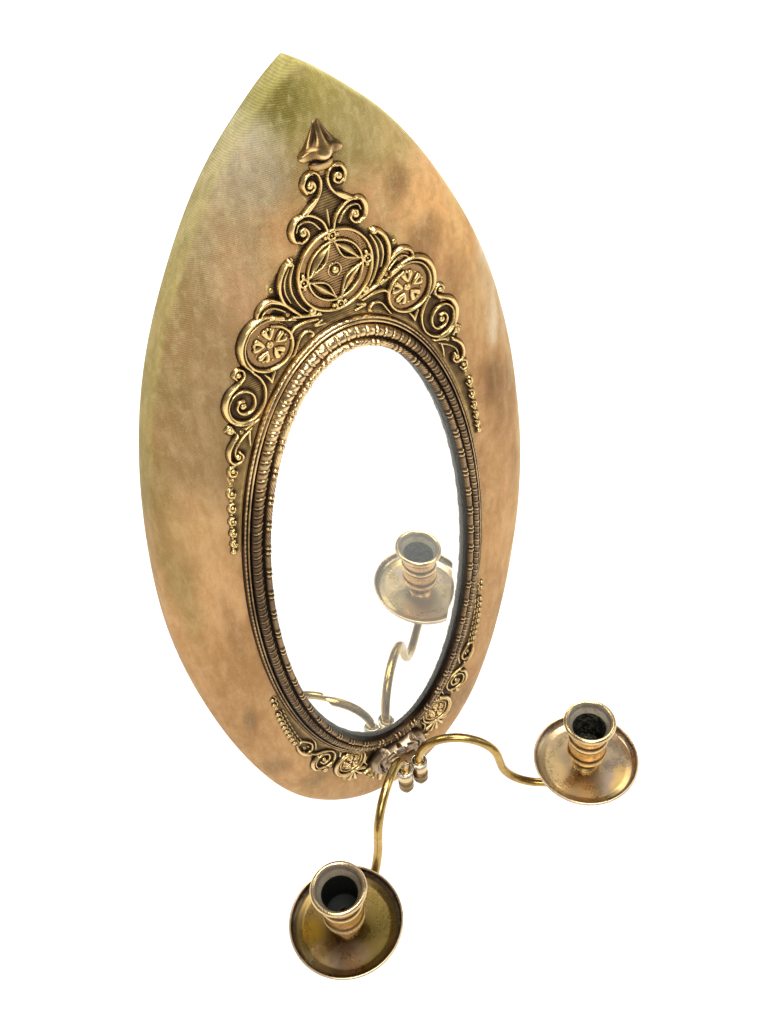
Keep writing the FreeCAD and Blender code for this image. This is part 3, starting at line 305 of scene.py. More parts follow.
    def finish(self, name, body, replaced, back=None, roll=0.5, depth0=SHEET_BACK, tone_gain=0.62):
        """Close the sheet into a solid and make the piece."""
        S, H = self.S, self.H.copy()
        inside = S > 0
        H = np.where(inside, np.minimum(H, roll + 1.9 * np.clip(S, 0, None)), H)
        fill = np.where(inside, H, 0.2)
        B = blur(fill, max(1, int(1.25 / self.step)))
        # tone: dark in the hollows, light on ridges and high ground; in the brass colours this is patina and wear, and
        # also painted shade and a painted highlight
        tone = np.clip(0.5 + tone_gain * (H - B) + 0.05 * (H - self.G), 0, 1)
        back_h = np.zeros(H.shape) if back is None else np.clip(back(H), 0, H - 0.2)
        nz, nx = S.shape
        index = np.full(S.shape, -1)
        index[inside] = np.arange(inside.sum())
        cols = [self.X[inside], self.Z0[inside], H[inside], back_h[inside], tone[inside]]
        pts = np.stack(cols, 1).tolist()
        quads = []
        full = inside[:-1, :-1] & inside[:-1, 1:] & inside[1:, 1:] & inside[1:, :-1]
        part = (inside[:-1, :-1] | inside[:-1, 1:] | inside[1:, 1:] | inside[1:, :-1]) & ~full
        fi, fj = np.nonzero(full)
        quads = np.stack([index[fi, fj], index[fi, fj + 1], index[fi + 1, fj + 1], index[fi + 1, fj]], 1).tolist()
        made, walls = {}, []

        def crossing(a, b):
            key = (a, b) if a < b else (b, a)
            if key not in made:
                (i, j), (k, l) = key
                t = S[i, j] / (S[i, j] - S[k, l])
                t = min(0.88, max(0.12, t))
                made[key] = len(pts)
                pts.append([self.X[i, j] * (1 - t) + self.X[k, l] * t, self.Z0[i, j] * (1 - t) + self.Z0[k, l] * t,
                            max(roll, min(H[i, j] * (1 - t) + H[k, l] * t, roll + 0.3)) if back is None
                            else H[i, j] * (1 - t) + H[k, l] * t,
                            back_h[i, j] * (1 - t) + back_h[k, l] * t, 0.45])
            return made[key]
        for i, j in np.argwhere(part):
            i, j = int(i), int(j)
            ring = [(i, j), (i, j + 1), (i + 1, j + 1), (i + 1, j)]
            poly, out = [], None
            first_in = None
            for k in range(4):
                a, b = ring[k], ring[(k + 1) % 4]
                if inside[a]:
                    poly.append(int(index[a]))
                if inside[a] != inside[b]:
                    c = crossing(a, b)
                    poly.append(c)
                    if inside[a]:
                        out = c
                    elif out is not None:
                        walls.append((out, c))
                        out = None
                    else:
                        first_in = c
            if out is not None:
                walls.append((out, first_in))
            quads.append(poly)
        pts = np.array(pts)
        n = len(pts)
        V = np.vstack([np.c_[pts[:, 0], depth0 + pts[:, 2], pts[:, 1]],
                       np.c_[pts[:, 0], depth0 + pts[:, 3], pts[:, 1]]])
        faces = quads + [[v + n for v in reversed(f)] for f in quads] + [[b, a, a + n, b + n] for a, b in walls]
        ob = mesh_object(name, V, faces, {"tone": np.r_[pts[:, 4], np.full(n, 0.25)]})
        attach(ob, body)
        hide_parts(replaced)
        return ob


# ------------------------------------------------------------------ materials
class Mat:
    """A node material with short names for the nodes it needs."""

    def __init__(self, name):
        self.m = bpy.data.materials.new(name)
        self.m.use_nodes = True
        self.t = self.m.node_tree
        self.t.nodes.clear()
        self.out = self.t.nodes.new("ShaderNodeOutputMaterial")
        self.b = self.t.nodes.new("ShaderNodeBsdfPrincipled")
        self.t.links.new(self.b.outputs[0], self.out.inputs[0])
        self.co = self.t.nodes.new("ShaderNodeTexCoord").outputs["Object"]

    def put(self, sock, v):
        if isinstance(v, bpy.types.NodeSocket):
            self.t.links.new(v, sock)
        elif hasattr(v, "__len__") and len(v) == 3 and sock.type == "RGBA":
            sock.default_value = (*v, 1)
        else:
            sock.default_value = v

    def set(self, **kw):
        for k, v in kw.items():
            self.put(self.b.inputs[k.replace("_", " ")], v)
        return self

    def noise(self, scale, detail=4.0, rough=0.55, distort=0.0, vec=None):
        n = self.t.nodes.new("ShaderNodeTexNoise")
        self.put(n.inputs["Vector"], vec or self.co)
        n.inputs["Scale"].default_value = scale
        n.inputs["Detail"].default_value = detail
        n.inputs["Roughness"].default_value = rough
        n.inputs["Distortion"].default_value = distort
        return n.outputs["Fac"]

    def mapped(self, loc=(0, 0, 0), rot=(0, 0, 0), scale=(1, 1, 1), vec=None):
        n = self.t.nodes.new("ShaderNodeMapping")
        self.put(n.inputs["Vector"], vec or self.co)
        n.inputs["Location"].default_value = loc
        n.inputs["Rotation"].default_value = rot
        n.inputs["Scale"].default_value = scale
        return n.outputs[0]

    def math(self, op, a, b=0.5, clamp=False):
        n = self.t.nodes.new("ShaderNodeMath")
        n.operation = op
        n.use_clamp = clamp
        self.put(n.inputs[0], a)
        self.put(n.inputs[1], b)
        return n.outputs[0]

    def span(self, v, a, b, c=0.0, d=1.0, smooth=True):
        n = self.t.nodes.new("ShaderNodeMapRange")
        n.interpolation_type = "SMOOTHSTEP" if smooth else "LINEAR"
        self.put(n.inputs["Value"], v)
        for key, x in (("From Min", a), ("From Max", b), ("To Min", c), ("To Max", d)):
            n.inputs[key].default_value = x
        return n.outputs["Result"]

    def mix(self, f, a, b, mode="MIX"):
        n = self.t.nodes.new("ShaderNodeMix")
        n.data_type = "RGBA"
        n.blend_type = mode
        self.put(n.inputs[0], f)
        self.put(n.inputs[6], a)
        self.put(n.inputs[7], b)
        return n.outputs[2]

    def ramp(self, f, stops):
        n = self.t.nodes.new("ShaderNodeValToRGB")
        self.put(n.inputs[0], f)
        e = n.color_ramp.elements
        while len(e) < len(stops):
            e.new(0.5)
        for k, (p, c) in zip(e, stops):
            k.position = p
            k.color = (*c, 1) if len(c) == 3 else c
        return n.outputs[0]

    def attr(self, name):
        n = self.t.nodes.new("ShaderNodeAttribute")
        n.attribute_name = name
        return n.outputs["Fac"]

    def bump(self, height, strength=0.3, dist=0.001, normal=None):
        n = self.t.nodes.new("ShaderNodeBump")
        n.inputs["Strength"].default_value = strength
        n.inputs["Distance"].default_value = dist
        self.put(n.inputs["Height"], height)
        if normal is not None:
            self.put(n.inputs["Normal"], normal)
        return n.outputs[0]

    def xyz(self, vec=None):
        n = self.t.nodes.new("ShaderNodeSeparateXYZ")
        self.put(n.inputs[0], vec or self.co)
        return n.outputs

    def blob(self, x, z, rx, rz, soft=0.6, wobble=0.35, seed=0.0, turn=0.0):
        """A soft-edged patch on the front, 1 in its middle and 0 outside (mm)."""
        v = self.mapped(loc=(-x * MM, 0, -z * MM))
        v = self.mapped(rot=(0, math.radians(turn), 0), scale=(1000 / rx, 0, 1000 / rz), vec=v)
        n = self.t.nodes.new("ShaderNodeVectorMath")
        n.operation = "LENGTH"
        self.put(n.inputs[0], v)
        w = self.noise(38, 5, 0.62, vec=self.mapped(loc=(seed * 0.37, seed * 0.11, seed * 0.23)))
        d = self.math("ADD", n.outputs["Value"], self.math("MULTIPLY", self.math("SUBTRACT", w, 0.5), wobble * 4))
        return self.span(d, 1.0 + soft, 1.0 - soft, 0.0, 1.0)


GOLD_HI = (0.86, 0.62, 0.22)
GOLD = (0.50, 0.31, 0.10)
BROWN = (0.20, 0.11, 0.052)
DARK = (0.045, 0.024, 0.013)


def brass(name, hi=GOLD_HI, gold=(0.50, 0.33, 0.115), mid=GOLD, low=BROWN, dark=DARK, rough=(0.24, 0.5), source="tone",
          patch=0.5, scale=30.0, fine=0.12, metallic=1.0, shift=0.0):
    """Old lacquered brass: dark in the hollows from patina and painted shade, bright on the edges from rubbed wear and
    a painted highlight, with patches of tarnish, specks and fine scratches."""
    m = Mat(name)
    if source == "tone":
        t = m.attr("tone")
    else:
        g = m.t.nodes.new("ShaderNodeNewGeometry")
        # pointiness: light on convex edges and dark in concave ones, which carries a painted highlight and painted
        # shade as well as wear and patina
        t = m.span(g.outputs["Pointiness"], 0.42, 0.58, 0.2 + shift, 0.9 + shift, smooth=False)
    n1 = m.noise(scale, 6, 0.62, 0.4)
    n2 = m.noise(scale * 8, 5, 0.62)
    n3 = m.noise(1700, 3, 0.6)
    jitter = m.math("MULTIPLY", m.math("SUBTRACT", n2, 0.5), 0.34)
    drift = m.math("MULTIPLY", m.math("SUBTRACT", n1, 0.5), patch)
    tt = m.math("ADD", m.math("ADD", t, jitter), drift)
    # the dark and low stops hold patina and painted shade in the hollows; the hi stop is rubbed wear and a painted
    # highlight on the ridges
    c = m.ramp(tt, [(0.18, dark), (0.36, low), (0.50, mid), (0.68, gold), (0.92, hi)])
    c = m.mix(m.span(n3, 0.60, 0.74, 0.0, 0.35), c, dark)
    m.set(Base_Color=c, Metallic=metallic)
    r = m.span(tt, 0.3, 0.85, rough[1], rough[0], smooth=False)
    r = m.math("ADD", r, m.math("MULTIPLY", m.math("SUBTRACT", n2, 0.5), 0.24), clamp=True)
    m.set(Roughness=r)
    scratch = m.noise(700, 4, 0.7, vec=m.mapped(rot=(0.3, 0.5, 0.2), scale=(1, 1, 7)))
    h = m.math("ADD", m.math("MULTIPLY", n2, 0.7), m.math("MULTIPLY", scratch, 0.3))
    m.set(Normal=m.bump(h, fine, 0.0006))
    return m.m


def use(ob, mat):
    ob.data.materials.clear()
    ob.data.materials.append(mat)
    return ob


M_CREST = brass("crest_brass", hi=(0.82, 0.59, 0.25), gold=(0.37, 0.24, 0.084), mid=(0.150, 0.092, 0.037),
                low=(0.076, 0.045, 0.021), dark=(0.026, 0.014, 0.008))
M_MOULD = brass("moulding_brass", hi=(0.78, 0.55, 0.27), gold=(0.27, 0.164, 0.072), mid=(0.088, 0.054, 0.030),
                low=(0.055, 0.034, 0.019), dark=(0.020, 0.012, 0.007), rough=(0.2, 0.42), scale=16, patch=0.5)
M_SPRAY = brass("spray_brass", hi=(0.66, 0.46, 0.20), gold=(0.26, 0.162, 0.060), mid=(0.112, 0.068, 0.030),
                low=(0.058, 0.035, 0.018), dark=(0.022, 0.013, 0.008))
M_BOSS = brass("boss_brass", hi=(0.36, 0.26, 0.16), gold=(0.130, 0.086, 0.048), mid=(0.066, 0.044, 0.027),
               low=(0.038, 0.027, 0.019), dark=(0.014, 0.010, 0.008), rough=(0.30, 0.46), patch=0.3, scale=60, fine=0.05,
               metallic=0.9)
M_FINIAL = brass("finial_copper", hi=(0.80, 0.56, 0.26), gold=(0.38, 0.235, 0.090), mid=(0.160, 0.094, 0.040),
                 low=(0.076, 0.042, 0.021), dark=(0.024, 0.012, 0.008), rough=(0.22, 0.4))

# ------------------------------------------------------------------ crest
CREST = [(3.2, 229.5), (7.0, 231.4), (10.9, 229.6), (11.9, 224.2), (9.0, 217.9), (13.8, 215.9), (18.4, 212.0),
         (19.1, 206.2), (16.1, 200.9), (21.3, 196.5), (25.8, 195.0), (30.6, 191.5), (34.9, 189.1), (35.7, 184.5),
         (33.8, 175.9), (38.1, 173.0), (44.6, 170.4), (49.9, 165.6), (52.0, 159.0), (51.0, 151.4), (56.6, 151.9),
         (59.2, 147.0), (57.9, 142.2), (63.5, 138.6), (65.8, 133.0), (64.5, 126.9), (69.4, 125.0), (69.8, 120.7),
         (66.4, 115.2), (69.8, 110.0), (70.8, 103.8), (73.8, 99.3), (74.3, 94.6), (73.4, 90.1), (76.2, 85.9),
         (76.2, 81.2), (75.8, 77.7), (78.2, 74.4), (78.2, 69.2), (77.8, 66.1), (79.9, 63.0), (79.9, 58.7),
         (80.4, 54.0), (81.9, 50.0), (81.8, 44.6)]
CREST_INNER = [(68.0, 44.6), (58.0, 80.0), (38.0, 118.0), (18.0, 136.0), (-12.0, 140.0), (-12.0, 226.0), (0.0, 229.0)]


def flower(R, cx, cz, k, h=1.8, turn=90):
    """Five double petals round a small button."""
    R.bead(cx, cz, 2.2 * k, h * 0.8, hollow=0.3)
    for i in range(5):
        a = math.radians(turn + 72 * i)
        ux, uz = math.cos(a), math.sin(a)
        px, pz = -uz, ux
        for s in (-1, 1):
            R.stroke([(cx + ux * 3.4 * k, cz + uz * 3.4 * k, 0.8 * k), (cx + ux * 5.6 * k + px * s * 1.2 * k,
                      cz + uz * 5.6 * k + pz * s * 1.2 * k, 1.7 * k), (cx + ux * 7.4 * k + px * s * 1.9 * k,
                      cz + uz * 7.4 * k + pz * s * 1.9 * k, 2.0 * k)], h=h, shape="round", edge=False)
        R.bead(cx + ux * 8.6 * k, cz + uz * 8.6 * k, 0.95 * k, h * 0.9)
        b = a + math.radians(36)
        R.bead(cx + math.cos(b) * 8.3 * k, cz + math.sin(b) * 8.3 * k, 0.55 * k, h * 0.6)


def make_crest():
    R = Relief(-84, 84, 43, 235.5, 0.34, seed=11, fine=0.86)
    R.polygon(CREST + CREST_INNER)
    cx, cz = 0.0, 183.6
    # neck: a pair of S scrolls
    R.stroke([(11.2, 214.4), (6.6, 217.6), (2.8, 222.3), (1.7, 227.4), (3.4, 231.0), (6.9, 232.0), (9.9, 229.4),
              (9.7, 225.6), (7.2, 223.7), (4.9, 225.1), (5.3, 227.5), (7.2, 228.0)], w=0.85, h=1.9)
    R.stroke([(5.4, 219.6, 0.6), (8.6, 217.2, 1.4), (12.3, 215.2, 0.7)], h=1.9)
    R.stroke([(5.0, 231.6, 0.7), (8.6, 231.0, 1.3), (10.6, 227.4, 1.3), (9.3, 223.8, 0.7)], h=2.3)
    R.bead(7.3, 226.7, 1.9, 2.5)
    # second pair of scrolls, on the roundel
    R.stroke([(1.5, 203.6), (3.1, 208.4), (6.6, 212.1), (11.2, 214.3), (15.8, 213.8), (18.9, 210.4), (18.9, 206.0),
              (16.0, 202.9), (12.6, 203.2), (10.8, 206.0), (12.3, 208.5), (14.6, 208.1)], w=0.85, h=1.9)
    R.stroke([(4.9, 205.6), (8.0, 209.6), (12.0, 211.5), (15.4, 210.6), (16.6, 208.0)], w=0.55, h=1.3)
    R.stroke([(12.6, 214.6, 0.7), (16.8, 213.2, 1.5), (19.0, 209.2, 1.8), (18.2, 204.6, 1.4), (14.8, 202.6, 0.7)], h=2.4)
    R.bead(13.6, 206.8, 2.0, 2.6)
    R.stroke([(0.0, 213.0, 0.6), (0.0, 208.0, 1.0), (0.0, 203.5, 0.5)], h=0.9, shape="leaf")
    # central roundel
    d = np.hypot(R.X - cx, R.Z0 - cz)
    th = np.arctan2(R.Z0 - cz, R.X)
    k = d < 13.6
    R.H[k] = 1.0
    ch = (d > 15.5) & (d < 18.9)
    R.H[ch] = (0.85 + 0.16 * np.cos(th * 96))[ch]
    R.ring(cx, cz, 19.7, 0.95, 2.3)
    R.ring(cx, cz, 14.6, 0.75, 1.9)
    for q in range(4):
        a0 = math.radians(90 * q + 45)
        mid = (10.4 * math.cos(a0), 10.4 * math.sin(a0))
        e0 = (13.6 * math.cos(a0 - math.pi / 4 + 0.10), 13.6 * math.sin(a0 - math.pi / 4 + 0.10))
        e1 = (13.6 * math.cos(a0 + math.pi / 4 - 0.10), 13.6 * math.sin(a0 + math.pi / 4 - 0.10))
        if mid[0] < 0:
            continue
        f = lambda p, s: (cx + p[0] + math.cos(a0) * s, cz + p[1] + math.sin(a0) * s)
        R.stroke([(*f(e0, 0), 0.4), (*f(mid, 0.3), 2.9), (*f(e1, 0), 0.4)], h=1.7, shape="leaf", edge=False)
        R.stroke([f(e0, 0), f(mid, -3.1), f(e1, 0)], w=0.6, h=2.0, edge=False)
        R.stroke([f(e0, 0), f(mid, -0.1), f(e1, 0)], w=0.42, h=2.1, edge=False)
    R.bead(cx, cz, 2.0, 2.4)
    R.ring(cx, cz, 3.4, 0.4, 0.9, edge=False)
    for ux, uz in ((0, 1), (1, 0), (0, -1)):
        bx, bz = cx + ux * 17.2, cz + uz * 17.6
        R.ring(bx, bz, 1.9, 0.75, 2.5, edge=False)
        R.bead(bx, bz, 0.95, 2.2)
        for s in (-1, 1):
            R.bead(bx + uz * s * 3.1 - ux * 0.3, bz + ux * s * 3.1 - uz * 0.3, 1.25, 2.3)
            R.bead(bx - ux * 2.9 + uz * s * 1.3, bz - uz * 2.9 + ux * s * 1.3, 0.9, 2.0)
    # crescent leaves each side of the roundel
    R.stroke([(20.6, 196.6, 0.7), (24.6, 194.6, 1.5), (28.0, 190.0, 1.35), (29.4, 184.0, 1.1), (28.2, 178.0, 0.95),
              (24.8, 172.6, 0.8), (20.8, 168.4, 0.6)], h=2.5)
    R.stroke([(20.4, 193.8), (22.9, 188.0), (23.3, 181.0), (20.6, 173.6), (17.0, 168.6)], w=0.55, h=1.4)
    R.stroke([(22.6, 193.2), (25.6, 188.0), (26.4, 182.0), (24.6, 176.0)], w=0.5, h=1.0)
    R.bead(22.2, 195.4, 1.9, 2.8)
    # double-line leaf over the side roundel
    R.stroke([(21.6, 169.4, 0.6), (26.2, 174.8, 1.0), (30.8, 179.0, 1.4), (36.2, 181.0, 1.6), (41.0, 178.6, 1.3),
              (43.2, 173.6, 0.6)], h=2.4)
    R.stroke([(24.8, 169.4), (29.8, 174.4), (34.8, 177.2), (39.0, 176.0), (41.0, 172.8)], w=0.55, h=1.5)
    R.stroke([(23.5, 166.9, 0.5), (31.0, 170.0, 1.1), (38.0, 172.6, 0.8)], h=1.6)
    # side roundel: a scroll that closes on itself, with a flower
    sx, sz = 38.3, 159.2
    dd = np.hypot(R.A - sx, R.Z - sz)
    k = dd < 11.6
    R.H[k] = 0.45 + 0.5 * (dd[k] / 11.6) ** 4
    R.stroke([(10.5, 164.6, 0.6), (18.8, 167.0), (27.0, 169.6), (34.0, 172.0), (41.2, 172.2), (47.4, 169.2), (51.0, 163.6),
              (51.5, 157.0), (48.8, 150.7), (43.6, 146.9), (37.0, 146.3), (30.8, 149.4), (27.3, 155.2), (27.6, 161.6),
              (31.2, 166.4), (36.4, 168.9, 0.5)], w=0.95, h=2.2)
    R.stroke([(33.0, 172.6, 0.6), (41.2, 174.4, 1.4), (48.8, 171.2, 2.0), (53.2, 164.0, 2.1), (53.2, 156.0, 1.7),
              (49.8, 149.8, 0.8)], h=3.0)
    flower(R, sx, sz, 1.0)
    # sprays between the roundel and the moulding
    R.stroke([(12.4, 162.6, 0.6), (19.0, 163.8, 1.0), (25.4, 162.6, 0.8), (28.0, 158.6, 0.5)], h=1.8)
    R.stroke([(16.2, 153.4), (15.8, 156.4), (18.6, 158.4), (22.6, 157.0), (25.4, 152.4), (28.2, 147.4)], w=0.7, h=1.7)
    R.bead(16.2, 154.6, 1.3, 1.9)
    R.bead(14.6, 167.6, 2.3, 2.6)
    R.bead(11.6, 165.2, 1.5, 2.2)
    R.stroke([(10.0, 161.0, 0.5), (14.0, 159.6, 0.9), (8.4, 158.4, 0.5)], h=1.3)
    for s in (0, 1):
        R.stroke([(41.0 + (2.6 if s else -2.6), 144.4, 0.5), (41.0 + (0.9 if s else -0.9), 141.6, 0.9), (41.0, 138.8, 0.5)],
                 h=1.5)
    # line that runs from the side roundel into the lower spiral
    R.stroke([(50.0, 149.6), (46.6, 144.2), (45.0, 137.8), (46.4, 131.0), (50.4, 126.0), (55.6, 123.6), (61.0, 125.2),
              (64.6, 130.0), (64.6, 136.4), (60.8, 140.8), (55.6, 140.9), (51.7, 137.2), (51.6, 131.8), (54.8, 128.4),
              (59.0, 129.2), (60.9, 132.8), (59.4, 136.0), (56.8, 135.8)], w=0.85, h=2.0)
    R.bead(57.6, 133.0, 1.9, 2.1)
    R.stroke([(54.4, 148.8, 0.7), (58.6, 145.8, 1.3), (63.8, 142.4, 1.9), (66.7, 135.8, 2.0), (65.4, 128.4, 1.6),
              (60.8, 123.8, 1.0), (54.6, 122.8, 0.6)], h=2.7)
    R.stroke([(59.6, 144.8), (56.2, 146.6), (53.9, 149.6), (54.5, 152.6), (57.4, 153.4), (59.4, 151.2), (58.2, 148.9)],
             w=0.95, h=2.2)
    R.bead(57.0, 150.8, 1.7, 2.5)
    # lower scroll
    R.stroke([(51.6, 122.6, 0.7), (58.4, 120.6, 0.9), (64.6, 117.4, 1.2), (69.2, 112.4, 1.5), (70.6, 106.6, 1.3),
              (68.8, 102.8, 1.0), (65.4, 102.7, 0.9), (63.4, 105.4, 0.9), (64.8, 108.2, 0.8)], h=2.3)
    R.stroke([(55.6, 118.6), (61.4, 115.0), (65.8, 110.9), (67.4, 106.4)], w=0.5, h=1.2)
    R.stroke([(56.6, 118.4, 0.5), (57.8, 113.6, 0.7), (58.2, 109.0, 0.4)], h=1.2)
    R.bead(66.0, 105.6, 1.8, 2.5)
    R.bead(66.6, 122.6, 2.1, 2.6, hollow=0.35)
    R.stroke([(64.4, 120.2, 0.5), (66.4, 125.2, 0.8), (69.4, 123.4, 0.5)], h=1.6)
    # chain of drops down the side
    drops = [(70.6, 98.6, 2.5), (74.0, 85.6, 2.2), (75.5, 76.4, 2.0), (77.0, 68.0, 1.85), (78.2, 60.2, 1.7),
             (79.2, 53.0, 1.6)]
    for i, (x, z, r) in enumerate(drops):
        R.stroke([(x - r * 0.7, z + r * 1.3, 0.45), (x + r * 0.5, z + r * 0.9, 0.8), (x + r * 0.75, z - r * 0.5, 0.9),
                  (x - r * 0.2, z - r * 1.25, 0.7), (x - r * 0.9, z - r * 0.4, 0.45)], h=2.2)
        R.bead(x - r * 0.1, z, r * 0.62, 2.2)
        R.bead(x + 0.9, z - r * 2.0, r * 0.42, 1.5)
    R.bead(80.2, 47.4, 1.7, 2.0)
    for x, z in PINS[:4]:
        R.sink(x, z, 1.9, SHEET + 0.05)
    # hatching on the ground, as struck by the die
    lines = 0.13 * np.sin(R.Z0 * 2 * math.pi / 1.25) * np.clip((R.S - 0.8) / 1.5, 0, 1)
    low = R.H < 1.35
    R.H[low] += lines[low]
    R.H += 0.12 * noise2(R.X, R.Z0, 4, 5, 3)
    off = oval_distance(R.X, R.Z0)
    R.S = np.minimum(R.S, off - 15.12)
    return use(R.finish("crest", "frame", "crest_plate"), M_CREST)


crest = make_crest()

# ------------------------------------------------------------------ base spray
SPRAY = [(82.0, -82.6), (82.4, -88.0), (80.8, -96.0), (81.8, -101.0), (80.0, -108.5), (80.7, -114.0), (78.0, -121.0),
         (78.6, -127.0), (75.4, -134.0), (75.7, -140.5), (71.6, -146.3), (69.9, -155.8), (65.4, -161.8),
         (65.4, -171.0), (63.4, -179.8), (58.4, -184.1), (57.4, -190.5), (52.0, -193.1), (49.5, -196.7),
         (48.5, -205.2), (42.6, -212.5), (35.7, -218.9), (26.7, -220.9), (24.0, -228.5), (17.6, -235.4),
         (11.6, -238.4), (8.6, -245.4), (4.0, -250.9)]
SPRAY_INNER = [(0.0, -252.4), (-12.0, -246.0), (-12.0, -190.0), (15.0, -180.0), (36.0, -165.0), (56.0, -130.0),
               (70.0, -82.6)]


def make_spray():
    R = Relief(-84.5, 84.5, -255, -81, 0.34, seed=21)
    R.polygon(SPRAY + SPRAY_INNER)
    # chain of small drops
    for i, (x, z) in enumerate([(80.9, -86.0), (80.8, -91.2), (80.0, -102.0), (79.7, -107.4), (79.0, -112.8),
                                (78.2, -118.2), (77.2, -123.6), (76.2, -129.0), (75.0, -134.6), (73.6, -140.2)]):
        r = 1.45 + 0.05 * i
        R.bead(x, z, r, 1.9, hollow=0.3)
        R.stroke([(x - 1.6, z + 2.4, 0.4), (x - 2.6, z, 0.5), (x - 1.6, z - 2.4, 0.4)], h=1.1)
        R.stroke([(x - 4.0, z + 1.6, 0.4), (x - 4.6, z - 1.4, 0.5)], h=0.9)
    # leaf scroll
    R.stroke([(72.6, -144.4, 0.7), (69.0, -142.8, 0.9), (65.2, -146.2, 0.9), (62.4, -151.6, 0.9), (63.4, -157.0, 0.8),
              (66.8, -158.0, 0.8), (69.2, -154.8, 0.7), (67.8, -150.8, 0.6), (65.2, -152.0, 0.6)], h=1.9)
    R.stroke([(72.6, -145.6, 0.7), (71.8, -151.4, 1.5), (69.0, -157.4, 1.6), (64.6, -162.0, 0.8)], h=2.4)
    R.stroke([(61.0, -146.0, 0.4), (59.6, -153.0, 0.7), (60.4, -160.0, 0.4)], h=1.2)
    # spiral
    R.stroke([(64.4, -161.4, 0.7), (60.2, -165.4), (54.6, -167.6), (49.6, -171.4), (47.6, -177.2), (49.6, -183.2),
              (55.2, -185.2), (60.8, -182.6), (63.0, -176.8), (60.8, -171.6), (55.8, -170.2), (52.0, -173.6),
              (52.4, -178.6), (56.4, -180.4), (58.8, -177.4)], w=0.8, h=1.9)
    R.bead(56.2, -176.2, 1.7, 2.2)
    R.stroke([(60.0, -167.6, 0.6), (64.4, -172.2, 1.4), (64.8, -179.4, 1.5), (60.6, -185.0, 0.7)], h=2.5)
    R.bead(56.8, -188.8, 2.0, 2.4, hollow=0.35)
    R.stroke([(45.4, -170.0, 0.5), (42.6, -176.6, 0.9), (44.4, -184.0, 0.5)], h=1.5)
    R.stroke([(52.0, -163.0, 0.4), (46.6, -166.4, 0.8), (42.4, -172.6, 0.4)], h=1.3)
    # roundel with a flower
    cx, cz = 37.0, -197.9
    dd = np.hypot(R.A - cx, R.Z - cz)
    k = dd < 10.6
    R.H[k] = 0.45 + 0.5 * (dd[k] / 10.6) ** 4
    R.ring(cx, cz, 11.6, 0.9, 2.2)
    R.ring(cx, cz, 8.9, 0.55, 1.5)
    R.ring(cx, cz, 12.9, 1.3, 2.6, -70, 70)
    flower(R, cx, cz, 0.74, h=1.8, turn=90)
    # shell under the roundel
    for i, (x, z) in enumerate([(27.4, -213.6), (31.2, -217.4), (36.2, -219.2), (41.0, -216.6), (44.6, -211.6)]):
        R.stroke([(36.6, -208.6, 0.5), ((36.6 + x) / 2, (-208.6 + z) / 2, 1.1), (x, z, 1.55)], h=2.3)
    R.ring(36.4, -208.4, 2.6, 0.8, 2.2, 200, 340)
    # leaves that spread from behind the boss
    for a, r2, wide in ((-14, 1.26, 1.5), (-30, 1.30, 2.0), (-46, 1.40, 2.4), (-62, 1.55, 2.5), (-78, 1.75, 2.2)):
        c, s = math.cos(math.radians(a)), math.sin(math.radians(a))
        p0, p2 = (23.0 * c, -215.5 + 15.8 * s), (23.0 * r2 * c, -215.5 + 15.8 * r2 * s * 1.16)
        pm = ((p0[0] + p2[0]) / 2 + 0.9, (p0[1] + p2[1]) / 2)
        R.stroke([(*p0, wide * 0.7), (*pm, wide), (*p2, 0.7)], h=2.3, shape="leaf")
        R.stroke([p0, pm, p2], w=0.42, h=2.5)
        R.bead(p2[0], p2[1], 1.1, 2.3)
    R.stroke([(0, -230.0, 2.4), (0, -238.0, 3.3), (0, -246.0, 2.2), (0, -251.0, 0.9)], h=2.7, shape="leaf")
    R.stroke([(0, -231.0), (0, -249.0)], w=0.5, h=3.0)
    R.stroke([(2.2, -232.0, 0.5), (5.6, -239.0, 0.9), (3.4, -246.4, 0.5)], h=1.7)
    R.stroke([(24.4, -203.0, 0.5), (26.6, -207.4, 1.0), (25.0, -212.6, 0.6)], h=1.7)
    R.stroke([(18.0, -196.8, 0.4), (22.4, -195.6, 0.9), (25.2, -191.0, 0.4)], h=1.5)
    R.stroke([(25.6, -186.6, 0.4), (31.0, -184.0, 0.9), (36.8, -184.4, 0.4)], h=1.5)
    for x, z in PINS[4:]:
        R.sink(x, z, 1.9, SHEET + 0.05)
    lines = 0.12 * np.sin((R.A - R.Z0) * 2 * math.pi / 1.4) * np.clip((R.S - 0.8) / 1.5, 0, 1)
    low = R.H < 1.35
    R.H[low] += lines[low]
    R.H += 0.14 * noise2(R.X, R.Z0, 4, 8, 3)
    R.S = np.minimum(R.S, oval_distance(R.X, R.Z0) - 15.12)
    hole = np.maximum(np.abs(R.X) - 16.8, np.abs(R.Z0 + 215.5) - 12.8)
    R.S = np.minimum(R.S, hole)
    return use(R.finish("spray", "frame", "base_spray"), M_SPRAY)


spray = make_spray()


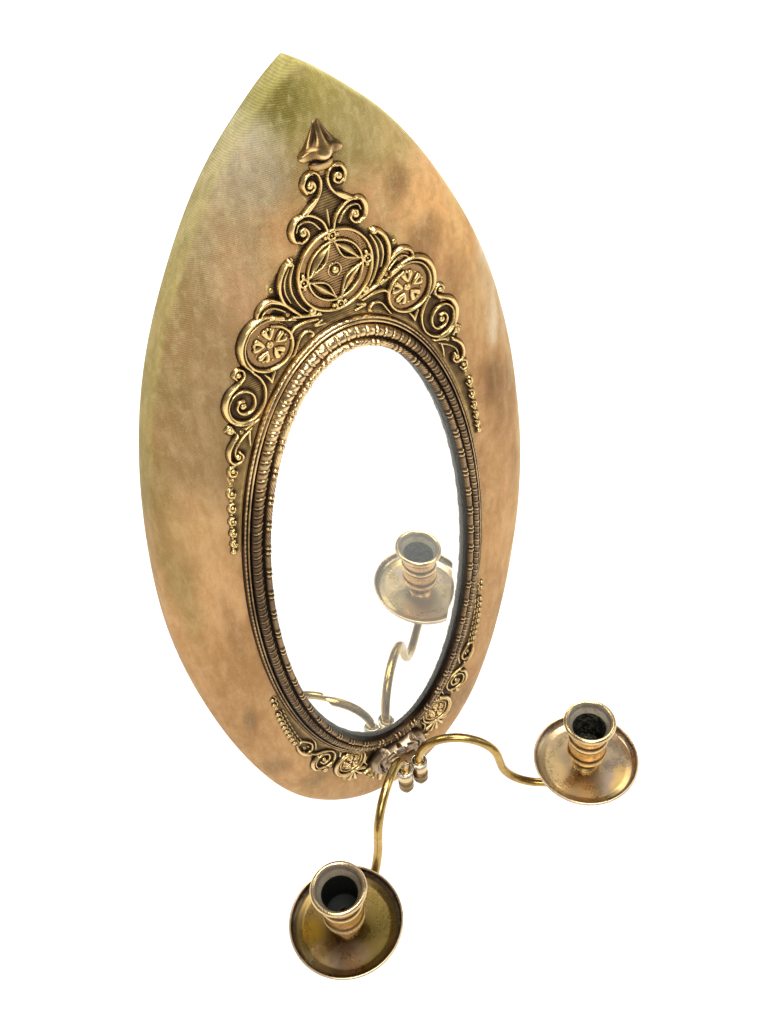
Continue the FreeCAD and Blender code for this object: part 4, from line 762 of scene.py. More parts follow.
# ------------------------------------------------------------------ boss
def make_boss():
    R = Relief(-25.2, 25.2, -233, -200, 0.3, ground=0.0, warp=0.15, seed=31)
    rho = np.hypot(R.X / 24.0, (R.Z0 + 215.5) / 16.5)
    R.H = 10.6 * np.clip(1 - rho ** 2.4, 0, 1) ** 0.62
    R.S = (1 - rho) * 18.0
    kw = dict(add=True, edge=False, shape="cos")
    # rolled ears at the two ends
    R.stroke([(14.0, -204.6, 1.6), (19.6, -208.6, 3.0), (21.4, -215.0, 3.3), (19.0, -221.8, 3.0), (13.6, -226.4, 1.6)],
             h=3.6, **kw)
    R.stroke([(11.4, -205.4, 0.8), (15.6, -210.2, 1.2), (16.6, -216.2, 1.2), (14.2, -222.4, 0.8)], h=-2.2, **kw)
    # swirled lobes inside them
    for r, hh in ((3.4, 1.0), (6.0, 1.1), (8.6, 1.0)):
        R.ring(6.4, -219.2, r, 0.85, hh, -115, 62, **kw)
        R.ring(6.4, -219.2, r + 1.3, 0.7, -0.8, -115, 62, **kw)
    # ridge along the upper edge, and a hollow under it
    R.stroke([(0.0, -203.6, 1.6), (7.0, -204.0, 1.7), (13.0, -206.2, 1.3), (17.0, -210.0, 0.8)], h=2.2, **kw)
    R.stroke([(0.0, -206.4, 1.1), (6.6, -206.9, 1.2), (11.6, -209.2, 0.9)], h=-2.0, **kw)
    R.stroke([(3.2, -210.6, 0.7), (7.6, -211.0, 1.0), (11.6, -213.2, 0.7)], h=1.2, **kw)
    R.stroke([(2.6, -224.0, 0.7), (7.0, -226.6, 1.3), (12.0, -226.4, 0.7)], h=1.5, **kw)
    R.stroke([(0.0, -221.0, 1.2), (0.0, -229.4, 1.5)], h=-1.5, **kw)
    d = np.hypot(R.X, R.Z0 + 206.0)
    R.H = np.where(d < 5.6, np.maximum(R.H, 9.6 + 0.9 * np.cos((d - 4.6) / 1.0 * math.pi / 2).clip(0, 1)), R.H)
    R.H = np.where(d < 3.7, 9.1, R.H)
    R.H += 0.16 * noise2(R.X, R.Z0, 3.2, 15, 3) * np.clip(R.S / 2, 0, 1)
    R.H = np.clip(R.H, 0.35, 11.8)
    slot = np.maximum(np.abs(R.X) - 10.35, np.abs(R.Z0 + 215.15) - 2.75)
    R.S = np.minimum(np.minimum(R.S, slot), oval_distance(R.X, R.Z0) - 15.12)
    R.H = np.minimum(R.H, 0.5 + 3.2 * np.clip(oval_distance(R.X, R.Z0) - 14.9, 0, None))
    ob = R.finish("boss_cartouche", "frame", "boss", back=lambda H: H - 1.8, roll=99.0,
                  depth0=SHEET_BACK + SHEET, tone_gain=0.24)
    return use(ob, M_BOSS)


boss = make_boss()


# ------------------------------------------------------------------ moulding
def make_moulding():
    N = 2100
    tt = np.linspace(0, 2 * math.pi, 20001)
    x, z = oval_at(7.5, tt)
    L = np.r_[0, np.cumsum(np.hypot(np.diff(x), np.diff(z)))]
    total = L[-1]
    s = np.arange(N) / N * total
    t = np.interp(s, L, tt)
    front = [(0.0, 26.9), (0.08, 29.0), (0.5, 30.9), (1.3, 32.1), (2.5, 32.5), (3.6, 31.9), (4.4, 30.5), (4.8, 29.9),
             (5.3, 30.2), (5.9, 30.9), (7.2, 31.3), (8.6, 30.9), (9.8, 29.7), (10.6, 28.1), (10.95, 27.2), (11.4, 27.8),
             (12.0, 28.4), (12.5, 28.0), (12.85, 27.2), (13.25, 27.5), (13.7, 27.7), (14.2, 27.2), (14.6, 26.2),
             (15.0, 25.3)]
    back = [(15.0, 24.1), (12.9, 24.3), (12.3, 26.6), (11.2, 26.0), (9.8, 27.6), (8.4, 29.2), (7.1, 29.7), (5.4, 29.0),
            (4.4, 28.7), (3.6, 30.2), (2.7, 31.0), (1.9, 30.7), (1.4, 30.0), (1.0, 26.9)]
    P = catmull(front, 0.27)
    o, d = P[:, 0], P[:, 1]
    S, O = np.meshgrid(s, o, indexing="ij")
    T = np.interp(S, s, t)
    # ribs: flat panels parted by a raised line, slanting along the sides
    ribs = 146
    pitch = total / ribs
    slant = 0.55 * np.cos(T)
    phase = (S + slant * (O - 7.8) * np.where(True, 1, 1)) / pitch
    fr = phase - np.floor(phase)
    wig = noise2(np.floor(phase), O * 0, 1.0, 41, 1)
    ridge = 0.62 * np.exp(-((fr - 0.5) / 0.085) ** 2) - 0.5 * np.exp(-((fr - 0.68) / 0.075) ** 2) \
        - 0.22 * np.exp(-((fr - 0.33) / 0.07) ** 2) + 0.26 * (0.5 - np.abs(fr - 0.5)) * -1.0
    win = np.clip((O - 5.0) / 0.7, 0, 1) * np.clip((10.7 - O) / 0.8, 0, 1)
    relief = ridge * win * (1 + 0.25 * wig)
    # ties on the inner roll, in pairs, and the plain reed between them
    knots = round(total / 16.7)
    kp = S / (total / knots)
    ds = (kp - np.round(kp)) * total / knots
    wi = np.clip(O / 0.5, 0, 1) * np.clip((4.6 - O) / 0.8, 0, 1)
    for c in (-1.7, 1.7):
        relief += wi * 0.75 * np.exp(-((ds - c) / 0.75) ** 2)
    relief -= wi * 0.45 * np.exp(-(ds / 0.6) ** 2)
    relief -= wi * 0.30 * (np.exp(-((ds - 3.6) / 0.8) ** 2) + np.exp(-((ds + 3.6) / 0.8) ** 2))
    relief += wi * 0.16 * np.sin((S + 2.2 * (O - 2)) / 2.6 * 2 * math.pi) * (np.abs(ds) > 4.6)
    # outer fillet: faintly notched
    wo = np.clip((O - 13.1) / 0.4, 0, 1) * np.clip((14.6 - O) / 0.4, 0, 1)
    relief += wo * 0.13 * np.sin(S / 3.1 * 2 * math.pi)
    relief += 0.09 * noise2(S, O, 2.4, 43, 2) + 0.12 * noise2(S, O * 0, 24, 44, 2)
    Z = d[None, :] + relief * np.clip(O / 0.2, 0.0, 1)
    B = blur(np.hstack([np.repeat(Z[:, :1], 4, 1), Z, np.repeat(Z[:, -1:], 4, 1)]), 3)[:, 4:-4]
    # top: a painted highlight that lightens the moulding towards the top and upper left, where the light falls; Z - B
    # adds painted shade in the hollows and a painted highlight on the ribs, as well as patina
    top = np.clip((oval_at(7.5, T)[1] - 62) / 60, 0, 1) * np.clip((46 - oval_at(7.5, T)[0]) / 40, 0.15, 1)
    tone = np.clip(0.44 + 0.62 * (Z - B) + 0.32 * top * top * (3 - 2 * top), 0, 1)
    tone = np.where(O < 0.6, np.clip(0.10 + 0.5 * O, 0, 1), tone)
    ob_, db = np.array(back).T
    OO = np.hstack([O, np.repeat(ob_[None], N, 0)])
    DD = np.hstack([Z, np.repeat(db[None], N, 0)])
    tone = np.hstack([tone, np.full((N, len(back)), 0.2)])
    X, ZZ = oval_at(OO, np.repeat(t[:, None], OO.shape[1], 1))
    V = np.stack([X, DD, ZZ], -1).reshape(-1, 3)
    faces = grid_faces(N, OO.shape[1], True, True, flip=True)
    ob = mesh_object("moulding", V, faces, {"tone": tone.ravel()})
    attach(ob, "frame")
    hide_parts("oval_moulding")
    return use(ob, M_MOULD)


moulding = make_moulding()


# ------------------------------------------------------------------ crest finial
def make_finial():
    """A pressed bell: a fluted cap over a scalloped skirt, flat at the back."""
    prof = [(0.0, 0.0), (2.2, 0.3), (2.6, 1.6), (5.0, 2.2), (6.1, 3.6), (6.2, 5.2), (5.4, 6.2), (6.6, 6.9), (9.4, 8.0),
            (10.3, 9.6), (9.7, 11.2), (7.6, 13.0), (5.4, 15.6), (3.7, 18.4), (2.4, 21.0), (1.5, 22.6), (0.3, 23.4)]
    P = catmull([(b, a) for a, b in prof], 0.35)
    zz, rr = P[:, 0], np.clip(P[:, 1], 0.02, None)
    n = 97
    th = np.linspace(-math.pi / 2, math.pi / 2, n)      # 0 faces the viewer
    TH, I = np.meshgrid(th, np.arange(len(zz)), indexing="ij")
    r, z = rr[I], zz[I]
    skirt = np.exp(-((z - 9.6) / 2.6) ** 2)
    cap = np.clip((z - 11.5) / 4, 0, 1) * np.clip((23.4 - z) / 6, 0, 1)
    flute = np.cos(TH * 5)
    r2 = r * (1 + 0.10 * skirt * flute + 0.13 * cap * np.cos(TH * 5) - 0.03 * cap * np.cos(TH * 10))
    z2 = z - 0.9 * skirt * (flute - 0.4)
    X = r2 * np.sin(TH)
    depth = SHEET_BACK + r2 * np.cos(TH) * 0.62 + 0.35 * np.clip(r / 2, 0, 1)
    depth = np.where(np.abs(np.abs(TH) - math.pi / 2) < 1e-6, SHEET_BACK, depth)
    V = np.stack([X, depth, 230.0 + z2], -1)
    m = V.shape[1]
    faces = [f for f in grid_faces(n, m, flip=False).tolist()]
    V2 = V.reshape(-1, 3)
    # flat back
    left, right = [0 * m + j for j in range(m)], [(n - 1) * m + j for j in range(m)]
    for j in range(m - 1):
        faces.append([right[j], left[j], left[j + 1], right[j + 1]][::-1])
    faces.append([i * m for i in range(n)][::-1])
    faces.append([i * m + m - 1 for i in range(n)])
    B = blur(depth, 3)
    # tone: light on the flute ridges, dark in their valleys and at the neck; a painted highlight and painted shade over
    # the patina in the hollows
    tone = np.clip(0.55 + 0.9 * (depth - B) + 0.14 * flute * (skirt + cap) - 0.32 * np.exp(-((z - 6.3) / 0.9) ** 2), 0, 1)
    ob = mesh_object("finial", V2, faces, {"tone": tone.ravel()})
    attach(ob, "frame")
    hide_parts("crest_finial")
    return use(ob, M_FINIAL)


finial = make_finial()

# ------------------------------------------------------------------ velvet
OUTLINE = [(0.0000, 1.0000), (0.0860, 0.9755), (0.1653, 0.9480), (0.3058, 0.8931), (0.5471, 0.7538),
           (0.7388, 0.5945), (0.8851, 0.3949), (0.9653, 0.1956), (1.0000, -0.0037),
           (0.9719, -0.2429), (0.9000, -0.4422), (0.7851, -0.6415), (0.6339, -0.8011),
           (0.4190, -0.9207), (0.2058, -0.9806), (0.0000, -1.0000)]


def outline_ring(side, top, foot, n):
    a = 121.0 - side
    zt, zf = 272.5 - top, -(272.5 - foot)
    mid, half = (zt + zf) / 2, (zt - zf) / 2
    right = natural_spline([(a * x, mid + half * z) for x, z in OUTLINE], n)
    left = right[::-1].copy()
    left[:, 0] *= -1
    return np.vstack([right[:-1], left[:-1]])


def nap(r, g, b):
    """A cloth colour from how it looks on screen under this light."""
    return tuple((v / 255) ** 2.2 / 1.02 for v in (r, g, b))


def velvet_material():
    m = Mat("velvet")
    x, y, z = m.xyz()
    base = m.mix(m.span(m.noise(14, 6, 0.65, 0.6), 0.36, 0.64), nap(202, 152, 100), nap(170, 124, 80))
    base = m.mix(m.span(m.noise(52, 6, 0.7), 0.42, 0.7, 0, 0.5), base, nap(212, 166, 112))
    spots = [
        # x, z, rx, rz, colour, strength, edge, turn
        (0, 266, 60, 34, nap(142, 131, 70), 0.9, 0.6, 0),
        (-17, 264, 17, 15, nap(96, 92, 26), 0.95, 0.45, 30),
        (14, 262, 16, 12, nap(150, 140, 66), 0.8, 0.5, -30),
        (-58, 229, 14, 26, nap(128, 116, 46), 0.9, 0.5, 35),
        (24, 244, 20, 20, nap(150, 134, 80), 0.8, 0.6, -40),
        (-34, 250, 15, 15, nap(182, 174, 144), 0.9, 0.5, 30),
        (-36, 236, 20, 16, nap(160, 146, 120), 0.85, 0.5, 25),
        (-71, 204, 14, 26, nap(128, 112, 52), 0.9, 0.5, 30),
        (-50, 208, 16, 24, nap(150, 130, 98), 0.85, 0.6, 25),
        (-90, 165, 11, 34, nap(124, 106, 50), 0.9, 0.6, 22),
        (-66, 170, 18, 34, nap(148, 118, 82), 0.85, 0.6, 20),
        (-48, 196, 8, 22, nap(188, 144, 104), 0.75, 0.6, 20),
        (-84, 118, 22, 54, nap(138, 110, 72), 0.85, 0.7, 10),
        (-108, 90, 8, 70, nap(132, 108, 58), 0.8, 0.6, 5),
        (-112, 30, 5, 50, nap(152, 128, 74), 0.6, 0.6, 0),
        (-94, 66, 14, 26, nap(202, 157, 104), 0.75, 0.8, 0),
        (-100, -26, 15, 30, nap(176, 128, 78), 0.75, 0.8, 0),
        (-98, -84, 18, 56, nap(170, 124, 76), 0.75, 0.8, 0),
        (-92, -12, 5, 30, nap(146, 108, 70), 0.5, 0.7, 0),
        (-97, -98, 4, 12, nap(108, 86, 60), 0.65, 0.7, 0),
        (-89, -160, 8, 12, nap(128, 96, 64), 0.6, 0.8, 20),
        (-64, -198, 9, 9, nap(114, 94, 60), 0.75, 0.8, 30),
        (-52, -228, 42, 24, nap(184, 142, 92), 0.7, 0.8, 0),
        (44, 232, 12, 30, nap(176, 150, 92), 0.75, 0.6, -35),
        # the pale strip down the right edge is painted sheen where the light catches the velvet's rim
        (72, 200, 7, 46, nap(214, 206, 132), 0.95, 0.5, -30),
        (93, 158, 6, 50, nap(244, 238, 210), 0.95, 0.5, -22),
        (106, 112, 5, 40, nap(236, 228, 190), 0.85, 0.6, -12),
        (118, 40, 4, 50, nap(220, 206, 160), 0.6, 0.6, 0),
        (56, 196, 17, 26, nap(232, 172, 110), 0.95, 0.6, -25),
        (72, 166, 14, 26, nap(222, 162, 102), 0.9, 0.6, -25),
        (50, 179, 9, 12, nap(140, 92, 54), 0.85, 0.6, -25),
        (38, 214, 7, 9, nap(142, 98, 64), 0.8, 0.6, 0),
        (66, 152, 9, 20, nap(156, 108, 68), 0.75, 0.7, -25),
        (87, 134, 10, 24, nap(204, 158, 106), 0.85, 0.6, -15),
        (93, 76, 10, 16, nap(116, 80, 50), 0.9, 0.6, 0),
        (102, 60, 9, 34, nap(142, 102, 66), 0.85, 0.7, 0),
        (104, 98, 7, 20, nap(190, 140, 90), 0.7, 0.8, 0),
        (108, -20, 14, 60, nap(208, 158, 106), 0.7, 0.8, 0),
        (110, 4, 5, 24, nap(160, 116, 76), 0.7, 0.8, 0),
        (60, -206, 24, 14, nap(142, 110, 80), 0.7, 0.8, 35),
        (84, -150, 14, 40, nap(186, 138, 90), 0.6, 0.8, 15),
        (-117, 166, 5, 5, (0.02, 0.015, 0.01), 0.9, 0.5, 0),
    ]
    c = base
    for i, (bx, bz, rx, rz, col, k, soft, turn) in enumerate(spots):
        f = m.blob(bx, bz, rx, rz, soft, 0.3, i * 1.7, turn)
        c = m.mix(m.math("MULTIPLY", f, k), c, col)
    # painted sheen: yellow-green where the cloth turns over the rim, strongest at the top and on the right
    rim = m.math("MULTIPLY", m.span(y, -0.0172, -0.0130), m.span(z, 0.07, 0.15))
    rim = m.math("MULTIPLY", rim, m.span(x, -0.03, 0.03, 0.3, 0.9))
    c = m.mix(rim, c, nap(206, 198, 112))
    mott = m.math("MULTIPLY", m.span(m.noise(150, 5, 0.7, 0.4), 0.46, 0.64), m.span(z, 0.09, 0.20, 0.08, 0.26))
    c = m.mix(mott, c, nap(112, 98, 42))
    mott = m.math("MULTIPLY", m.span(m.noise(190, 5, 0.7, 0.4), 0.48, 0.68), m.span(z, 0.09, 0.20, 0.06, 0.22))
    c = m.mix(mott, c, nap(214, 204, 150))
    # worn nap: fine streaks along z, and the wale of the cloth across
    streak = m.noise(60, 5, 0.7, 0.3, vec=m.mapped(scale=(2.4, 2.4, 0.8)))
    c = m.mix(m.span(streak, 0.40, 0.74, 0, 0.30), c, nap(142, 104, 60))
    c = m.mix(m.span(streak, 0.60, 0.30, 0, 0.22), c, nap(226, 190, 140))
    upper = m.span(z, -0.02, 0.14)
    w = m.t.nodes.new("ShaderNodeTexWave")
    w.wave_type, w.bands_direction, w.wave_profile = "BANDS", "Z", "SIN"
    m.put(w.inputs["Vector"], m.mapped(rot=(0, 0.035, 0)))
    w.inputs["Scale"].default_value = 400.0
    w.inputs["Distortion"].default_value = 0.9
    w.inputs["Detail"].default_value = 3.0
    w.inputs["Detail Scale"].default_value = 0.12
    w.inputs["Detail Roughness"].default_value = 0.6
    wale = w.outputs["Fac"]
    gaps = m.span(m.noise(30, 4, 0.6), 0.30, 0.62, 0.15, 1.0)
    amount = m.math("MULTIPLY", m.math("MULTIPLY", upper, gaps), 0.17)
    c = m.mix(m.math("MULTIPLY", amount, m.span(wale, 0.6, 0.1)), c, nap(96, 84, 40))
    c = m.mix(m.math("MULTIPLY", m.math("MULTIPLY", upper, gaps), m.span(wale, 0.75, 1.0, 0, 0.14)), c, nap(232, 214, 150))
    c = m.mix(m.span(m.noise(900, 3, 0.7), 0.55, 0.75, 0, 0.3), c, nap(120, 92, 56))
    c = m.mix(m.span(m.noise(1500, 2, 0.7), 0.62, 0.74, 0, 0.4), c, nap(236, 208, 160))
    back = m.span(y, -0.0035, -0.0018)
    c = m.mix(m.math("MULTIPLY", back, 0.8), c, nap(126, 122, 66))
    m.set(Base_Color=c)
    m.b.inputs["Roughness"].default_value = 0.88
    m.b.inputs["Sheen Weight"].default_value = 0.22
    m.b.inputs["Sheen Roughness"].default_value = 0.35
    m.b.inputs["Sheen Tint"].default_value = (1.0, 0.84, 0.52, 1)
    m.b.inputs["Specular IOR Level"].default_value = 0.2
    pile = m.noise(2200, 2, 0.7)
    lumps = m.noise(120, 4, 0.6)
    h = m.math("ADD", m.math("MULTIPLY", pile, 0.4), m.math("MULTIPLY", lumps, 0.7))
    h = m.math("ADD", h, m.math("MULTIPLY", m.math("MULTIPLY", wale, upper), 0.10))
    m.set(Normal=m.bump(h, 0.6, 0.0010))
    return m.m


def make_velvet():
    n = 420
    rows = []
    back_rows = [(16.0, 22.0, 16.0, 2.0), (15.8, 21.6, 15.8, 1.1), (15.2, 21.0, 15.2, 0.85), (10.0, 13.6, 10.0, 0.85),
                 (5.0, 6.6, 5.0, 0.85), (2.4, 3.0, 2.4, 0.9), (1.2, 1.5, 1.2, 1.15), (0.5, 0.6, 0.5, 1.8),
                 (0.12, 0.15, 0.12, 3.0), (0.0, 0.0, 0.0, 4.6), (0.0, 0.0, 0.0, 6.6), (0.0, 0.0, 0.0, 8.6)]
    for sd, tp, ft, dp in back_rows:
        rows.append((outline_ring(sd, tp, ft, n), dp))
    ds = np.r_[np.linspace(0.03, 3.0, 12), np.linspace(3.6, 36.0, 44)]
    dd = spline1([0, 0.5, 1.4, 4.5, 13, 24, 36], [10.6, 12.9, 14.4, 17.2, 20.7, 23.0, 23.72], ds)
    for s_, dp in zip(ds, dd):
        rows.append((outline_ring(s_, s_ * 25 / 36, s_ * 27 / 36, n), dp))
    crown = rows[-1][0]
    th = np.arctan2((crown[:, 1] + 23) / 172.6, crown[:, 0] / 74.7)
    inner = np.c_[74.7 * np.cos(th), -23 + 172.6 * np.sin(th)]
    for k in np.linspace(0, 1, 26)[1:]:
        rows.append((crown * (1 - k) + inner * k, 23.72))
    m = len(rows)
    P = np.stack([np.c_[r[:, 0], np.full(len(r), d), r[:, 1]] for r, d in rows], 1)      # around, across, xyz
    # slack and padding under the cloth: it stands a little proud here and there
    w = np.zeros(m)
    w[9:12 + len(ds)] = np.r_[np.linspace(0, 1, 12), np.ones(len(ds) - 18), np.linspace(1, 0, 9)]
    lump = 0.5 + 0.5 * noise2(P[..., 0], P[..., 2], 34, 51, 3)
    P[..., 1] += 0.75 * lump * w[None, :] * (P[..., 1] > 9)
    # the velvet is not notched round the bracket here; the boss hides that spot
    V = P.reshape(-1, 3)
    N = P.shape[0]
    faces = grid_faces(N, m, True, False, flip=False)
    ob = mesh_object("velvet", V, faces)
    mod = ob.modifiers.new("thickness", "SOLIDIFY")
    mod.thickness = 0.0012
    mod.offset = -1.0
    mod.use_even_offset = False
    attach(ob, "frame")
    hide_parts("velvet_cover")
    return use(ob, velvet_material())


velvet = make_velvet()


# ------------------------------------------------------------------ turned brass
def bulged(prof, n=7):
    """A profile in which a third number bows the run to the next point."""
    out = []
    for i, a in enumerate(prof):
        b = prof[(i + 1) % len(prof)]
        out.append((a[0], a[1]))
        if len(a) == 3 and i < len(prof) - 1:
            ax, az, bx, bz = a[0], a[1], b[0], b[1]
            c = math.hypot(bx - ax, bz - az)
            nx, nz = -(bz - az) / c, (bx - ax) / c
            for k in range(1, n):
                t = k / n
                s = 4 * t * (1 - t) * a[2] * c / 2
                out.append((ax + (bx - ax) * t + nx * s, az + (bz - az) * t + nz * s))
    return out


def subdivide_profile(pts, step):
    out = []
    for a, b in zip(pts, pts[1:] + pts[:1]):
        n = max(1, int(math.hypot(b[0] - a[0], b[1] - a[1]) / step))
        out += [(a[0] + (b[0] - a[0]) * k / n, a[1] + (b[1] - a[1]) * k / n) for k in range(n)]
    return np.array(out)


def turned(name, prof, cx, cd, z0, body, replaced, mat, zone=None, wob=0.12, seed=1, n=144, step=0.6, soft=1):
    """A turned piece from a closed half profile (radius, height)."""
    P = subdivide_profile(prof, step)
    for _ in range(soft):
        P = 0.25 * np.roll(P, 1, 0) + 0.5 * P + 0.25 * np.roll(P, -1, 0)
    prev, nxt = np.roll(P, 2, 0), np.roll(P, -2, 0)
    curve = (prev + nxt) / 2 - P
    tang = nxt - prev
    k = (tang[:, 0] * curve[:, 1] - tang[:, 1] * curve[:, 0]) / (np.hypot(*tang.T) + 1e-6)
    # tone from the profile's bend: light on convex rings, dark in concave hollows; a painted highlight and painted
    # shade as well as wear and patina
    tone = np.clip(0.5 + 1.6 * k, 0, 1)
    th = np.arange(n) / n * 2 * math.pi
    TH, I = np.meshgrid(th, np.arange(len(P)), indexing="ij")
    R, Z = P[I, 0], P[I, 1]
    wobble = wob * noise2(np.cos(TH) * 18 + 40, np.sin(TH) * 18 + Z * 0.25, 16, seed, 2)
    Rw = R + wobble * np.clip((R - 3) / 6, 0, 1)
    Zw = Z + wob * 0.8 * noise2(np.cos(TH) * R, np.sin(TH) * R, 26, seed + 5, 2) * np.clip((R - 9) / 20, 0, 1)
    V = np.stack([cx + Rw * np.cos(TH), cd + Rw * np.sin(TH), z0 + Zw], -1).reshape(-1, 3)
    faces = grid_faces(n, len(P), True, True, flip=False)
    att = {"tone": np.repeat(tone[None], n, 0).ravel()}
    if zone:
        att["zone"] = np.repeat(np.array([zone(r, z) for r, z in P])[None], n, 0).ravel()
    ob = mesh_object(name, V, faces, att)
    # outward normals, whichever way the profile runs
    me = ob.data
    area = 0.5 * np.sum(P[:, 0] * np.roll(P[:, 1], -1) - np.roll(P[:, 0], -1) * P[:, 1])
    if area < 0:
        me.flip_normals()
    me.update()
    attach(ob, body)
    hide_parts(replaced)
    return use(ob, mat)


def cup_material(name, bore_shade, funnel, pale):
    m = Mat(name)
    t, zn = m.attr("tone"), m.attr("zone")
    n1 = m.noise(60, 6, 0.65, 0.5)
    n2 = m.noise(420, 5, 0.65)
    n3 = m.noise(1500, 3, 0.6)
    tj = m.math("ADD", t, m.math("MULTIPLY", m.math("SUBTRACT", n2, 0.5), 0.26))
    # tone ramp: dark hollows and bright rings, which are patina and wear with painted shade and a painted highlight
    c = m.ramp(tj, [(0.24, (0.07, 0.034, 0.013)), (0.42, (0.25, 0.145, 0.050)), (0.52, (0.42, 0.26, 0.092)),
                    (0.66, (0.54, 0.37, 0.16)), (0.84, (0.72, 0.54, 0.28))])
    c = m.mix(m.span(n1, 0.48, 0.68, 0, 0.55), c, (0.30, 0.205, 0.115))
    f = m.mix(m.span(n1, 0.40, 0.62), pale, funnel)
    f = m.mix(m.span(n2, 0.50, 0.66, 0, 0.6), f, (0.24, 0.17, 0.11))
    f = m.mix(m.span(n3, 0.62, 0.70, 0, 0.7), f, (0.90, 0.85, 0.74))
    c = m.mix(m.span(zn, 0.25, 0.45), c, f)
    # the bore: near-black painted shade deep in the socket, mixed with a dark grey-green and pale specks
    d = m.mix(m.span(n2, 0.45, 0.62), (0.008, 0.009, 0.007), bore_shade)
    d = m.mix(m.span(n3, 0.62, 0.70, 0, 0.35), d, (0.12, 0.12, 0.08))
    c = m.mix(m.span(zn, 0.62, 0.82), c, d)
    r = m.span(tj, 0.35, 0.75, 0.36, 0.2, smooth=False)
    r = m.math("ADD", r, m.math("MULTIPLY", m.math("SUBTRACT", n2, 0.5), 0.25))
    r = m.math("ADD", r, m.span(zn, 0.3, 0.9, 0.0, 0.3), clamp=True)
    m.set(Base_Color=c, Roughness=r, Metallic=m.span(zn, 0.2, 0.85, 1.0, 0.15))
    m.b.inputs["Specular IOR Level"].default_value = 0.12
    m.set(Normal=m.bump(m.math("ADD", n2, n3), 0.16, 0.0006))
    return m.m


def pan_material(name, centre, base, second, patches, side_cols):
    """Spun brass: a broad soft tarnish, patches given as (across, towards the viewer, radii, colour, strength): stains,
    and on the right pan also painted reflections; a painted highlight on the rolled edge; rim and underside darker."""
    m = Mat(name)
    t, zn = m.attr("tone"), m.attr("zone")
    cx, cd = centre
    v = m.mapped(loc=(-cx * MM, cd * MM, 0))
    n1 = m.noise(30, 3, 0.5, 0.8, vec=v)
    n2 = m.noise(300, 5, 0.65, vec=v)
    c = m.mix(m.span(n1, 0.34, 0.64), base, second)
    for k, (px, pd, rx, rd, col, amount) in enumerate(patches):
        w = m.mapped(loc=(-px * MM, pd * MM, 0), vec=v)
        w = m.mapped(scale=(1000 / rx, 1000 / rd, 0), vec=w)
        n = m.t.nodes.new("ShaderNodeVectorMath")
        n.operation = "LENGTH"
        m.put(n.inputs[0], w)
        e = m.noise(40, 1, 0.4, vec=m.mapped(loc=(0.7 * k, 0.3 * k, 0.0), vec=v))
        d = m.math("ADD", n.outputs["Value"], m.math("MULTIPLY", m.math("SUBTRACT", e, 0.5), 1.2))
        c = m.mix(m.math("MULTIPLY", m.span(d, 1.4, 0.6), amount), c, col)
    c = m.mix(m.span(n2, 0.54, 0.74, 0, 0.22), c, (0.16, 0.105, 0.055))
    tj = m.math("ADD", t, m.math("MULTIPLY", m.math("SUBTRACT", n2, 0.5), 0.25))
    # pale gold where the tone is high, on the rolled edge: a painted highlight
    c = m.mix(m.span(tj, 0.58, 0.82, 0, 0.8), c, (0.74, 0.56, 0.34))
    side = m.mix(m.span(n2, 0.35, 0.65), *side_cols)
    c = m.mix(m.span(zn, 0.2, 0.45, 0, 0.75), c, side)
    out = m.mix(m.span(n2, 0.35, 0.65), (0.20, 0.115, 0.055), (0.10, 0.055, 0.03))
    c = m.mix(m.span(zn, 0.6, 0.85), c, out)
    turned_lines = m.noise(420, 2, 0.5, vec=v)
    r = m.math("ADD", m.span(n1, 0.35, 0.65, 0.24, 0.36), m.math("MULTIPLY", m.math("SUBTRACT", n2, 0.5), 0.22), clamp=True)
    m.set(Base_Color=c, Roughness=r, Metallic=1.0)
    m.set(Normal=m.bump(m.math("ADD", m.math("MULTIPLY", n2, 0.6), m.math("MULTIPLY", turned_lines, 0.6)), 0.10, 0.0007))
    return m.m


PAN_R, CUP_T, CUP_R, BORE = 36.2, 52.2, 17.4, 11.0
PAN_PROF = bulged([(2.6, -0.9), (10.0, -0.9), (PAN_R - 7.6, -0.4), (PAN_R - 3.3, 0.9), (PAN_R - 1.0, 2.9), (PAN_R, 5.5),
                   (PAN_R + 0.15, 6.3), (PAN_R - 0.15, 6.95), (PAN_R - 0.8, 7.1), (PAN_R - 1.35, 6.6), (PAN_R - 1.45, 5.6),
                   (PAN_R - 2.1, 3.4), (PAN_R - 4.0, 1.8), (PAN_R - 8.0, 0.6), (10.0, 0.0), (2.6, 0.0)])
CUP_PROF = bulged([(2.5, 0.0), (8.6, 0.0), (8.9, 0.7), (8.8, 1.6), (6.8, 3.6), (6.3, 5.4), (6.5, 7.4), (8.6, 10.6, -0.18),
                   (12.0, 14.4), (12.9, 15.0), (13.6, 16.2), (13.6, 18.0), (12.9, 19.2), (12.3, 20.2, -0.12), (12.3, 30.4),
                   (12.9, 31.2), (13.6, 32.4), (13.6, 33.9), (12.9, 35.0), (12.4, 36.0, -0.10), (13.1, 43.2, -0.10),
                   (CUP_R - 0.9, CUP_T - 4.6), (CUP_R - 0.1, CUP_T - 3.4), (CUP_R + 0.1, CUP_T - 2.2),
                   (CUP_R - 0.3, CUP_T - 0.9), (CUP_R - 1.1, CUP_T - 0.1), (CUP_R - 2.0, CUP_T), (CUP_R - 2.9, CUP_T - 0.7),
                   (CUP_R - 3.4, CUP_T - 1.9), (CUP_R - 4.0, CUP_T - 4.4), (12.0, CUP_T - 6.8), (BORE + 0.2, CUP_T - 8.3),
                   (BORE, CUP_T - 9.4), (BORE, CUP_T - 32.4), (9.5, CUP_T - 33.0), (2.5, CUP_T - 33.9)])


def cup_zone(r, z):
    if r < BORE + 0.3 and z < CUP_T - 8.0 and z > 14.0:
        return 1.0
    if z > CUP_T - 8.9 and r < CUP_R - 2.5:
        return 0.5
    return 0.0


